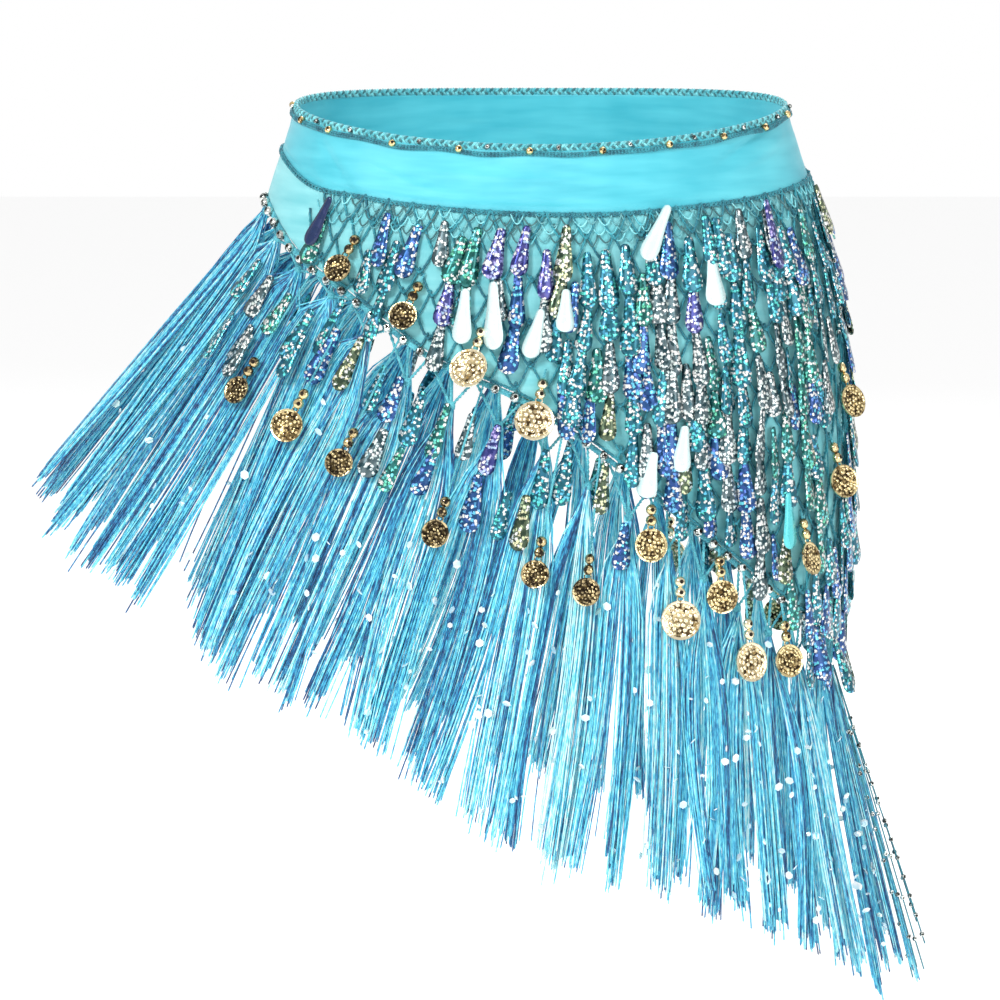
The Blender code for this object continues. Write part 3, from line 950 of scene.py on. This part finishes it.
# Coins of the lower edge: side, string length, radius
EDGE_COINS = (
    (-0.77, 0.072, SMALL),
    (-0.62, 0.070, MIDDLE),
    (-0.46, 0.070, SMALL),
    (-0.185, 0.080, SMALL),
    (0.07, 0.076, SMALL),
    (0.185, 0.070, SMALL),
    (0.345, 0.020, MIDDLE),
    (0.43, 0.048, LARGE),
    (0.56, 0.018, MIDDLE),
    (0.64, 0.042, LARGE),
    (0.77, 0.026, MIDDLE),
)
# Coins of the net: side, height of the string's top, string length, radius
NET_COINS = (
    (-0.628, -0.050, 0.018, SMALL),
    (-0.396, -0.074, 0.018, SMALL),
    (-0.184, -0.098, 0.018, LARGE),
    (0.012, -0.126, 0.018, LARGE),
    (0.824, -0.212, 0.018, MIDDLE),
    (0.928, -0.172, 0.018, MIDDLE),
    (0.964, -0.126, 0.020, MIDDLE),
)


def unit(direction):
    return direction / np.linalg.norm(direction)


def coin_place(angle, height, out, on_net):
    """Where a coin's string starts, with its side, its face and its up direction."""
    down = hang_directions(angle, height, COIN_STAND_OFF)
    away = out_directions(angle, height)
    if on_net:
        down = unit(down - away * (down @ away - NET_COIN_TILT))
    side = unit(np.cross(down, away))
    place = Matrix((side, np.cross(side, down), -down)).transposed().to_4x4()
    place.translation = Vector(hip_points(angle, height, out))
    return place


def stamp_coin(bm, draw, radius):
    """One coin, flat on the ground: rim and bosses in gold, the sunk field between them painted dark as a
    dark reflection.
    """
    bmesh.ops.create_cone(
        bm, cap_ends=True, segments=32, radius1=radius, radius2=radius, depth=COIN_WALL
    )
    caps = [f for f in bm.faces if len(f.verts) == 32]
    for cap in caps:
        up = math.copysign(1.0, cap.calc_center_median().z)
        bmesh.ops.inset_individual(bm, faces=[cap], thickness=radius * 0.10)
        bmesh.ops.inset_individual(bm, faces=[cap], thickness=radius * 0.04)
        bmesh.ops.translate(bm, verts=cap.verts, vec=(0, 0, -up * COIN_WALL * 0.30))
        cap.material_index = 1
        for ring, count in BOSS_RINGS:
            for i in range(count):
                spot = math.tau * i / count + draw.normal(0.0, 0.10)
                away = radius * (ring + draw.normal(0.0, 0.015))
                size = radius * 0.112 * draw.uniform(0.8, 1.2)
                boss = bmesh.ops.create_icosphere(bm, subdivisions=1, radius=size)["verts"]
                bmesh.ops.scale(bm, verts=boss, vec=(1, 1, 0.6))
                center = (away * math.cos(spot), away * math.sin(spot), up * COIN_WALL * 0.22)
                bmesh.ops.translate(bm, verts=boss, vec=center)


def small_ring(bm, radius, thick, height):
    """A round wire ring that stands up at a height, with its hole to the side."""
    wire = bmesh.ops.create_circle(bm, segments=6, radius=thick)["verts"]
    bmesh.ops.translate(bm, verts=wire, vec=(radius, 0, 0))
    edges = list({e for v in wire for e in v.link_edges})
    bmesh.ops.rotate(bm, verts=wire, cent=(radius, 0, 0), matrix=Matrix.Rotation(math.pi / 2, 3, "X"))
    before = set(bm.verts) - set(wire)
    bmesh.ops.spin(
        bm, geom=edges, axis=(0, 0, 1), cent=(0, 0, 0), angle=math.tau, steps=12, use_merge=True
    )
    made = [v for v in bm.verts if v not in before]
    bmesh.ops.recalc_face_normals(bm, faces=list({f for v in made for f in v.link_faces}))
    bmesh.ops.rotate(bm, verts=made, matrix=Matrix.Rotation(math.pi / 2, 3, "X"))
    bmesh.ops.translate(bm, verts=made, vec=(0, 0, height))


def coin_piece(draw, name, place, string, radius):
    bm = bmesh.new()
    stamp_coin(bm, draw, radius)
    bmesh.ops.rotate(bm, verts=bm.verts, matrix=Matrix.Rotation(draw.uniform(0, math.tau), 3, "Z"))
    bmesh.ops.rotate(bm, verts=bm.verts, matrix=Matrix.Rotation(math.pi / 2, 3, "X"))
    bmesh.ops.translate(bm, verts=bm.verts, vec=(0, 0, -string - radius))
    bmesh.ops.transform(bm, verts=bm.verts, matrix=Matrix.Rotation(draw.normal(0.0, 0.22), 4, "Z"))
    small_ring(bm, RING_RADIUS, RING_WIRE, -string + RING_RISE)
    if string > BEADED_STRING:
        for middle in [string - above * COIN_BEAD for above in BEADS_ABOVE]:
            ball = bead(bm, COIN_BEAD, 12, 2)
            bmesh.ops.scale(bm, verts=ball, vec=(1, 1, 0.8))
            turn = Matrix.Rotation(math.pi / 2, 3, "X") @ Matrix.Rotation(draw.normal(0.0, 0.4), 3, "Y")
            bmesh.ops.rotate(bm, verts=ball, matrix=turn)
            bmesh.ops.translate(bm, verts=ball, vec=(0, 0, -middle))
    bmesh.ops.transform(bm, verts=bm.verts, matrix=place)
    piece = mesh_piece(name, bm, coin_golds[radius])
    piece.data.set_sharp_from_angle(angle=math.radians(50))
    piece.data.materials.append(coin_fields[radius])
    piece.data.materials.append(bead_hole)
    return piece


# Lit and shaded copies of one gold, one for each size of coin: the small coins in painted shade, the
# middle ones half shaded, the large ones painted lit. Each field is painted darker than its rim.
coin_golds = {
    SMALL: metal_finish("coin_gold_painted_shade", (0.66, 0.52, 0.28), (0.04, 0.03, 0.02), 600.0, 0.52, 0.0002),
    MIDDLE: metal_finish("coin_gold_painted_half_shade", (0.86, 0.70, 0.38), (0.16, 0.10, 0.04), 600.0, 0.46, 0.0002),
    LARGE: metal_finish("coin_gold_painted_lit", (0.98, 0.86, 0.60), (0.30, 0.20, 0.07), 600.0, 0.42, 0.0002),
}
coin_fields = {
    SMALL: metal_finish("field_painted_shade", (0.14, 0.10, 0.04), (0.016, 0.012, 0.008), 420.0, 0.58, 0.0003),
    MIDDLE: metal_finish("field_painted_half_shade", (0.30, 0.22, 0.09), (0.030, 0.020, 0.012), 420.0, 0.56, 0.0003),
    LARGE: metal_finish("field_painted_lit", (0.72, 0.58, 0.32), (0.06, 0.04, 0.02), 420.0, 0.50, 0.0003),
}
draw = np.random.default_rng(31)
edge_out = CLOTH_SOLID / 2 + EDGE_CORD + SEAM_GAP + STRING_RADIUS
net_out = CLOTH_SOLID + SEAM_GAP + NET_SOLID + SEAM_GAP + STRING_RADIUS
hung = []
for number, (side, string, radius) in enumerate(EDGE_COINS, 1):
    angle = math.asin(side)
    place = coin_place(angle, edge_cord_height(angle), edge_out, False)
    hung.append((f"coin_edge_{number}", place, string, radius))
for number, (side, height, string, radius) in enumerate(NET_COINS, 1):
    place = coin_place(math.asin(side), height, net_out, True)
    hung.append((f"coin_net_{number}", place, string, radius))
for number, (side, string, radius) in enumerate(EDGE_COINS[1::3], 1):
    angle = math.pi - math.asin(side)
    place = coin_place(angle, edge_cord_height(angle), edge_out, False)
    hung.append((f"coin_back_{number}", place, string, radius))
coin_centers = []
string_paths = []
for node_name, place, string, radius in hung:
    coin = coin_piece(draw, node_name + "_gold", place, string, radius)
    wear(coin, "gold_metal", node_name)
    coin_centers.append((np.array(place @ Vector((0, 0, -string - radius))), radius + COIN_ROOM))
    if string > BEADED_STRING:
        coin_centers.append((np.array(place @ Vector((0, 0, -string + 2.3 * COIN_BEAD))), BEADS_ROOM))
    start, end = (np.array(place @ Vector((0, 0, z))) for z in (0.001, -string + 0.001))
    string_paths += twisted(start, end, 2, STRING_TWIST, max(2, int(string * 250)), 5 + int(string * 900))
wear(threads_piece("coin_strings", string_paths, STRING_THREAD, edge_thread, sides=4), "trim_thread")

# The sequins are long drops of thin holographic foil, narrow at the pierced top and round below.
# They hang in strings, each drop from the end of the one above, from the band down over the net,
# across the beaded edge and on over the top of the fringe. A few are plain foil.
STRING_SPACING = 0.0126
DROP_STEP = 0.0262
SEQUIN_WALL = 0.00035
# Drops on the cloth lean by this share of the fringe's lean. Past this side they cover the edge
CLOTH_LEAN = 0.45
COVERED_SIDE = 0.05
DROP_LENGTHS = (0.0265, 0.0350)
DROP_WIDTHS = (0.0096, 0.0128)
# Chances: another foil for the next drop, a drop across the edge on the tied side, a lost drop
FOIL_CHANGE = 0.6
EDGE_CROSSING = 0.15
DROP_LOST = 0.04
# Drops that fill bare places: how often one is tried, sizes, and how far from the next it lies
FILL_TRIES = 2600
FILL_LENGTHS = (0.0255, 0.0330)
FILL_WIDTHS = (0.0096, 0.0122)
FILL_RISE = 0.0200
FILL_SPREAD, CLOSE_SPREAD = 0.0112, 0.0070
SEQUIN_OUT = NET_OUT + 0.0026
FRINGE_OUT = 0.0048
DROP_THREAD = 0.0006
# Foil name, share of the drops on the tied side and on the low side, bright colour, deep colour
FOILS = (
    ("silver", 0.30, 0.16, (0.86, 0.98, 0.96), (0.005, 0.048, 0.066)),
    ("teal", 0.26, 0.44, (0.14, 0.76, 0.84), (0.003, 0.090, 0.135)),
    ("olive_gold", 0.10, 0.05, (0.86, 0.90, 0.54), (0.010, 0.042, 0.024)),
    ("blue", 0.19, 0.20, (0.18, 0.58, 0.96), (0.003, 0.040, 0.170)),
    ("violet", 0.06, 0.04, (0.50, 0.56, 0.98), (0.014, 0.018, 0.170)),
    ("sea_green", 0.09, 0.11, (0.20, 0.84, 0.72), (0.003, 0.095, 0.090)),
)
# Side, how far below the beaded edge the last drop of a string may start
DROP_REACH = (
    (-1.00, -0.010),
    (-0.95, 0.000),
    (-0.90, 0.052),
    (-0.20, 0.070),
    (0.15, 0.066),
    (0.30, 0.036),
    (0.70, 0.034),
    (0.85, 0.014),
    (1.00, 0.010),
)
# Drops that stand out: side, height, lean, length, width, foil
NOTED_DROPS = (
    (0.445, -0.036, -0.54, 0.034, 0.0105, "mirror"),
    (-0.160, -0.077, 0.02, 0.038, 0.0120, "mirror"),
    (-0.250, -0.081, -0.05, 0.031, 0.0110, "mirror"),
    (0.000, -0.092, -0.27, 0.028, 0.0105, "mirror"),
    (0.080, -0.081, -0.05, 0.024, 0.0105, "mirror"),
    (0.570, -0.065, 0.00, 0.028, 0.0125, "mirror"),
    (0.350, -0.172, -0.23, 0.026, 0.0120, "mirror"),
    (0.450, -0.158, -0.15, 0.026, 0.0105, "mirror"),
    (0.770, -0.200, 0.00, 0.032, 0.0110, "turquoise"),
    (-0.745, -0.034, -0.36, 0.030, 0.0088, "navy"),
    (0.790, -0.036, 0.05, 0.040, 0.0120, "violet"),
)
PLAIN_FOILS = (
    ("mirror", (0.84, 0.94, 0.92), (0.66, 0.88, 0.88)),
    ("turquoise", (0.20, 0.80, 0.80), (0.10, 0.62, 0.66)),
    ("navy", (0.008, 0.050, 0.19), (0.004, 0.018, 0.08)),
)


def drop_outline(length, width):
    """Distances down a drop and its half width at each: a narrow round top and a round bottom."""
    t = np.array((0.0, 0.02, 0.07, 0.2, 0.36, 0.52, 0.66, 0.78, 0.88, 0.95, 0.985, 1.0))
    share = np.array((0.16, 0.36, 0.46, 0.52, 0.62, 0.76, 0.90, 1.0, 0.95, 0.72, 0.42, 0.14))
    return t * length, share * width / 2


def drops_piece(name, drops, foil):
    """Thin domed drops as one mesh. Each has its top, its down, side and face, and its sizes."""
    bm = bmesh.new()
    uv = bm.loops.layers.uv.new("UVMap")
    for number, (top, down, side, face_out, length, width, curl) in enumerate(drops):
        made = bmesh.ops.create_grid(bm, x_segments=3, y_segments=11, size=0.5)["verts"]
        along, half = drop_outline(length, width)
        flat = {}
        for v in made:
            row, across = round((0.5 - v.co.y) * 11), v.co.x * 2
            a, b = along[row], half[row] * across
            flat[v] = (number * 0.02 + b, a)
            dome = 0.0007 * (1 - across * across) + curl * (a / length) ** 2
            v.co = top + down * a + side * b + face_out * dome
        for face in {f for v in made for f in v.link_faces}:
            for loop in face.loops:
                loop[uv].uv = flat[loop.vert]
    bmesh.ops.recalc_face_normals(bm, faces=bm.faces)
    piece = mesh_piece(name, bm, foil)
    solidify = piece.modifiers.new("foil", "SOLIDIFY")
    solidify.thickness = SEQUIN_WALL
    solidify.offset = 0.0
    return piece


def foil_glitter_group():
    """Holographic foil: rows of small bright dots over a deep ground, each with its own hue, and some of
    them white as painted glints.
    """
    group, given, out = new_group(
        "foil_glitter", ("Color", "Height", "Roughness"), Bright=WHITE, Deep=BLACK, Cells=700.0, Dots=0.5
    )
    place = node(group, "TexCoord").outputs["UV"]
    stray = node(group, "TexNoise", [("Vector", place), ("Scale", 800.0)], noise_dimensions="2D")
    bent = node(group, "VectorMath", [(0, stray.outputs["Color"]), ("Scale", 0.0022)], operation="SCALE")
    moved = node(group, "VectorMath", [(0, place), (1, bent.outputs[0])], operation="ADD")
    cells = node(
        group, "TexVoronoi",
        [("Vector", moved.outputs[0]), ("Scale", given["Cells"]), ("Randomness", 0.9)],
        voronoi_dimensions="2D",
    )
    kind, hue, gleam = node(group, "SeparateColor", [(0, cells.outputs["Color"])]).outputs
    inside = rescale(group, cells.outputs["Distance"], 0.34, 0.50, 1.0, 0.0)
    dot = reckon(group, "MULTIPLY", reckon(group, "GREATER_THAN", kind, given["Dots"]), inside)
    turn = rescale(group, hue, 0.0, 1.0, 0.44, 0.56)
    shifted = node(group, "HueSaturation", [("Hue", turn), ("Color", given["Bright"])]).outputs[0]
    # Painted glints: a share of the dots turn near white.
    painted_glint_dots = reckon(group, "GREATER_THAN", gleam, 0.55)
    dots = between(group, painted_glint_dots, shifted, (1.0, 1.0, 0.97, 1))
    ground = between(group, 0.86, between(group, hue, given["Deep"], shifted), given["Deep"])
    group.links.new(between(group, dot, ground, dots), out["Color"])
    group.links.new(dot, out["Height"])
    group.links.new(rescale(group, hue, 0.0, 1.0, 0.18, 0.42), out["Roughness"])
    return group


foil_glitter = foil_glitter_group()


def foil_finish(name, bright, deep, cells, dots, relief, metallic):
    values = {"Bright": bright, "Deep": deep, "Cells": cells, "Dots": dots}
    return group_finish(
        "foil_" + name, foil_glitter, values, relief, 0.7, roughness=0.25, metallic=metallic, coat=0.3
    )


def drop_frame(draw, place, down, away, length, width):
    """A drop's place and directions, turned a little about its own length."""
    side = unit(np.cross(down, away))
    turn = draw.normal(0.0, 0.26)
    face_out = np.cross(side, down)
    side = side * math.cos(turn) + face_out * math.sin(turn)
    face_out = np.cross(side, down)
    if face_out @ away < 0:
        face_out = -face_out
    return place, down, side, face_out, length, width, draw.uniform(-0.0006, 0.0012)


def drop_on_cloth(draw, angle, height, lean, length, width, out):
    """A drop that lies on the net and follows the form of the hips."""
    away = out_directions(angle, height)
    down = np.array([lean * math.cos(angle), lean * math.sin(angle), -1.0])
    down = unit(unit(down - away * (down @ away)) + away * 0.05)
    return drop_frame(draw, hip_points(angle, height, out), down, away, length, width)


def drop_on_fringe(draw, angle, distance, length, width):
    """A drop that hangs in front of the fringe, at a distance below the beaded edge."""
    height = below_edge(angle, EDGE_CORD)
    down = hang_directions(angle, height, 0.07, draw.normal(0.0, 0.05))
    away = out_directions(angle, height)
    top = hip_points(angle, height, FRINGE_OUT) + down * distance
    return drop_frame(draw, top, down, away, length, width)


def clear_of_coins(drop):
    """True where no coin or coin bead lies under the drop, seen from outside."""
    top, down, _, _, length, width, _ = drop
    for center, radius in coin_centers:
        offset = center - top
        along = np.clip(offset @ down, 0.0, length)
        gap = offset - down * along
        if np.linalg.norm(gap) < radius + width * 0.30:
            return False
    return True


def rounded(stops, draw):
    """A thread's path through its stops, with a little slack between them."""
    places = np.linspace(0, len(stops) - 1, (len(stops) - 1) * 8 + 1)
    path = np.stack([np.interp(places, np.arange(len(stops)), stops[:, i]) for i in range(3)], axis=-1)
    slack = np.sin(places * math.pi) * draw.uniform(0.0006, 0.0016)
    away = path * (1, 1, 0)
    away /= np.linalg.norm(away, axis=1, keepdims=True)
    return path + np.cross(away, (0, 0, 1)) * slack[:, None]


foil_names = [row[0] for row in FOILS]


def pick_foil(draw, angle):
    """A foil for a drop: silver and gold are rarer towards the low side."""
    low = np.clip(math.sin(angle) + 0.3, 0, 1)
    shares = np.array([row[1] * (1 - low) + row[2] * low for row in FOILS])
    return foil_names[draw.choice(len(foil_names), p=shares / shares.sum())]


def add_fill(draw, half):
    """Drops between the strings wherever a bare place is left on the cloth."""
    ends = arcs_at(half)
    for _ in range(FILL_TRIES):
        arc, share = draw.uniform(ends[0] + 0.004, ends[1] - 0.004), draw.uniform()
        angle = float(angles_at(arc))
        high, low = float(band_bottom(angle)) - 0.006, float(panel_bottom(angle)) + 0.012
        height = high - (high - low) * share
        spread = CLOSE_SPREAD if math.sin(angle) > COVERED_SIDE else FILL_SPREAD
        taken = np.array(used)
        gaps = np.hypot((taken[:, 0] - arc) / spread, (taken[:, 1] - height) / FILL_RISE)
        lean = CLOTH_LEAN * float(read_table(FRINGE_HANG, math.sin(angle), 1)) + draw.normal(0.0, 0.08)
        length, width = draw.uniform(*FILL_LENGTHS), draw.uniform(*FILL_WIDTHS)
        drop = drop_on_cloth(draw, angle, height, lean, length, width, SEQUIN_OUT - 0.0006)
        crosses = math.sin(angle) < COVERED_SIDE and height - length < low - 0.016
        if gaps.min() > 1 and not plain_corner(angle, height) and not crosses and clear_of_coins(drop):
            drops[pick_foil(draw, angle)].append(drop)
            used.append((arc, height))


drops = {name: [] for name in foil_names + [row[0] for row in PLAIN_FOILS]}
carriers = []
used = []
draw = np.random.default_rng(11)
for half_name, half in HALVES:
    ends = arcs_at(half)
    for start in np.arange(ends[0] + 0.004, ends[1] - 0.003, STRING_SPACING):
        arc = start + draw.normal(0.0, 0.0014)
        angle = float(angles_at(arc))
        height = float(band_bottom(angle)) - 0.004 - draw.uniform(0.0, 0.018)
        foil = pick_foil(draw, angle)
        carrier = []
        while True:
            angle = float(np.clip(angles_at(arc), half[0], half[1]))
            low = float(panel_bottom(angle))
            length, width = draw.uniform(*DROP_LENGTHS), draw.uniform(*DROP_WIDTHS)
            if draw.uniform() < FOIL_CHANGE:
                foil = pick_foil(draw, angle)
            hang = float(read_table(FRINGE_HANG, math.sin(angle), 1))
            lean = CLOTH_LEAN * hang + draw.normal(0.0, 0.06)
            covers_edge = math.sin(angle) > COVERED_SIDE or draw.uniform() < EDGE_CROSSING
            on_cloth = height > low + (0.012 if covers_edge else length - 0.004)
            if on_cloth:
                drop = drop_on_cloth(draw, angle, height, lean, length, width, SEQUIN_OUT)
                shown = not plain_corner(angle, height)
                if shown:
                    carrier.append(hip_points(angle, height, SEQUIN_OUT - 0.0008))
            else:
                distance = max(low - height, 0.003 if covers_edge else 0.018)
                if distance > np.interp(math.sin(angle), *zip(*DROP_REACH)):
                    break
                height = min(height, low - distance)
                drop = drop_on_fringe(draw, angle, distance, length, width)
                shown = True
            if shown and draw.uniform() > DROP_LOST and clear_of_coins(drop):
                drops[foil].append(drop)
                used.append((arc, height))
            step = DROP_STEP * draw.uniform(0.86, 1.12)
            arc += (lean if on_cloth else hang * 0.9) * step * math.cos(angle)
            height -= step
        if len(carrier) > 2:
            carriers.append(rounded(np.array(carrier), draw))
    add_fill(draw, half)
wear(threads_piece("drop_threads", carriers, DROP_THREAD, net_finish, sides=4), "net_thread")
for side, height, lean, length, width, foil in NOTED_DROPS:
    drops[foil].append(
        drop_on_cloth(draw, math.asin(side), height, lean, length, width, SEQUIN_OUT + 0.0020)
    )
for name, _, _, bright, deep in FOILS:
    foil = foil_finish(name, bright, deep, 500.0, 0.33, 0.0004, 0.7)
    wear(drops_piece("drops_" + name, drops[name], foil), "sequin")
for name, bright, deep in PLAIN_FOILS:
    foil = foil_finish(name, bright, deep, 400.0, 2.0, 0.0001, 0.2)
    wear(drops_piece("drops_" + name, drops[name], foil), "sequin")

# Small clear spangles are threaded on the fringe, thin on the tied side and thick near the tips
# on the low side. They are flat six-sided plates of clear iridescent film. A few loose threads on
# the low side carry silver seed beads.
SPANGLES = 440
SPANGLE_RADIUS = 0.0022
LOOSE_THREAD = 0.0004
LOOSE_BEAD = 0.0015
# Points of the strand at the hip that carry a seed bead
STRAND_BEADS = (12, 16, 20, 24, 26, 28, 31, 33)
# Degrees round the hips, how much more each leans than the fringe, share of the fringe's length
LOOSE_THREADS = (
    (78.0, 0.10, 1.02),
    (84.0, 0.13, 0.95),
    (89.0, 0.09, 1.04),
    (94.0, 0.12, 0.90),
    (86.0, 0.05, 1.05),
)


def spangles_piece(name, material):
    draw = np.random.default_rng(23)
    bm = bmesh.new()
    runs = [edge_run(half) for _, half in HALVES]
    for number in range(SPANGLES):
        share = draw.beta(1.6, 1.0)
        if number % 2:
            share = 1 - share
        angle = edge_angles(runs[number % 2], share)
        height = below_edge(angle, HEADER_TOP + HEADER_HEIGHT)
        down = hang_directions(angle, height, STAND_OFF)
        length = read_table(FRINGE_HANG, math.sin(angle), 2)
        place = hip_points(angle, height, 0.0040) + down * length * draw.beta(2.0, 1.3) * 0.97
        radius = SPANGLE_RADIUS * draw.uniform(0.7, 1.3)
        plate = bmesh.ops.create_cone(
            bm, cap_ends=True, segments=6, radius1=radius, radius2=radius * 0.6, depth=0.0006,
        )["verts"]
        turn = Matrix.Rotation(draw.uniform(0, math.tau), 3, "Z") @ Matrix.Rotation(
            math.pi / 2 + draw.normal(0.0, 0.5), 3, "X"
        )
        bmesh.ops.rotate(bm, verts=plate, matrix=turn)
        bmesh.ops.rotate(bm, verts=plate, matrix=Matrix.Rotation(float(angle), 3, "Z"))
        bmesh.ops.translate(bm, verts=plate, vec=Vector(place))
    return mesh_piece(name, bm, material, smooth=False)


def loose_threads(draw):
    """Loose threads that stray from the fringe on the low side, and the seed beads strung on them."""
    paths, places = [], []
    for degrees, lean, share in LOOSE_THREADS:
        angle = np.array(math.radians(degrees))
        height = below_edge(angle, HEADER_TOP + HEADER_HEIGHT - 0.002)
        down = hang_directions(angle, height, 0.05, lean)
        side = np.cross(down, out_directions(angle, height))
        t = np.linspace(0, 1, 30)[:, None]
        length = float(read_table(FRINGE_HANG, math.sin(angle), 2)) * share
        wave = np.sin(t * draw.uniform(5, 9) + draw.uniform(0, 6)) * 0.0022 * np.minimum(1, t * 3)
        path = hip_points(angle, height, 0.0030) + down * length * t + side * wave
        paths.append(path)
        places += [path[i] for i in range(6, 30, int(draw.integers(2, 5)))]
    return paths, places


def spangle_finish():
    material, tree, shader = finish_with("spangle_film", 0.12, metallic=0.35, coat=0.8)
    color = ramp(
        tree, noise(tree, node(tree, "TexCoord").outputs["Object"], 170.0, 1.0),
        (0.35, (0.60, 0.86, 0.98)), (0.5, (0.92, 0.97, 1.0)), (0.65, (0.70, 0.95, 0.90)),
    )
    tree.links.new(color, shader.inputs["Base Color"])
    return material


wear(spangles_piece("fringe_spangles", spangle_finish()), "sequin")
loose_paths, loose_places = loose_threads(np.random.default_rng(41))
string_tops = {name: place.translation for name, place, _, _ in hung}
start, end = hip_points(1.42, -0.052, 0.0035), np.array(string_tops["coin_net_7"])
t = np.linspace(0, 1, 40)[:, None]
hip_strand = start + (end - start) * t + np.array((1, -0.3, 0)) * 0.0055 * np.sin(t * math.pi)
loose_paths.append(hip_strand)
loose_places += [hip_strand[i] for i in STRAND_BEADS]
wear(threads_piece("loose_threads", loose_paths, LOOSE_THREAD, trim_deep, sides=4), "trim_thread")
facings = [(0.4, -1.0, 0.3 * math.sin(i * 5.0)) for i in range(len(loose_places))]
wear(beads_piece("loose_seed_beads", loose_places, facings, LOOSE_BEAD, bead_silver), "sequin")

# The room is plain and pale all round, with a floor below the hanging scarf. A broad key light
# stands at the upper left, a fill at the right and a soft light behind.
FLOOR_HEIGHT = -0.62
FLOOR_SIZE = 6.0
FLOOR_COLOR = (0.88, 0.88, 0.88, 1)
FLOOR_GLOW = 0.38
ROOM_LIGHT = 0.68
LIT_PLACE = Vector((0, 0, -0.2))


def soft_light(name, place, size, power):
    lamp = bpy.data.lights.new(name, "AREA")
    lamp.shape = "DISK"
    lamp.size = size
    lamp.energy = power
    made = bpy.data.objects.new(name, lamp)
    made.location = place
    made.rotation_euler = (LIT_PLACE - Vector(place)).to_track_quat("-Z", "Y").to_euler()
    bpy.context.scene.collection.objects.link(made)


material, _, shader = finish_with("studio_floor", 0.9, specular=0.1)
shader.inputs["Base Color"].default_value = FLOOR_COLOR
shader.inputs["Emission Color"].default_value = FLOOR_COLOR
shader.inputs["Emission Strength"].default_value = FLOOR_GLOW
bm = bmesh.new()
bmesh.ops.create_grid(bm, x_segments=1, y_segments=1, size=FLOOR_SIZE)
bmesh.ops.translate(bm, verts=bm.verts, vec=(0, 0, FLOOR_HEIGHT))
floor = mesh_piece("studio_floor", bm, material)
bpy.context.scene.collection.objects.link(floor)
floor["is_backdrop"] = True
soft_light("key", (-1.3, -2.4, 1.6), 0.8, 62.0)
soft_light("fill", (1.9, -2.0, 0.5), 1.4, 18.0)
soft_light("back", (0.4, 2.2, 1.5), 1.4, 30.0)
world = bpy.data.worlds.new("studio")
world.use_nodes = True
room_light = world.node_tree.nodes["Background"]
seen = node(world.node_tree, "LightPath")
strength = rescale(world.node_tree, seen.outputs["Is Camera Ray"], 0.0, 1.0, ROOM_LIGHT, 1.0)
room_light.inputs[0].default_value = WHITE
world.node_tree.links.new(strength, room_light.inputs[1])
bpy.context.scene.world = world
bpy.context.scene.view_settings.view_transform = "Standard"

# The camera looks at the front from a little above, and takes in the scarf and the whole fringe.
# A point of the picture is 0.57 mm of the scarf.
VIEW_RISE = math.radians(8.0)
VIEW_DISTANCE = 4.0
VIEW_CENTER = Vector((-0.0234, -0.060, -0.2074))
PICTURE_POINTS = 1000
POINT_SIZE = 0.00057
SENSOR = 36.0
lens = bpy.data.cameras.new("camera")
lens.sensor_width = SENSOR
lens.lens = SENSOR * VIEW_DISTANCE / (PICTURE_POINTS * POINT_SIZE)
lens.clip_end = 50.0
camera = bpy.data.objects.new("camera", lens)
back = Vector((0, -math.cos(VIEW_RISE), math.sin(VIEW_RISE)))
camera.location = VIEW_CENTER + back * VIEW_DISTANCE
camera.rotation_euler = (-back).to_track_quat("-Z", "Y").to_euler()
bpy.context.scene.collection.objects.link(camera)
bpy.context.scene.camera = camera

low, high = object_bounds()
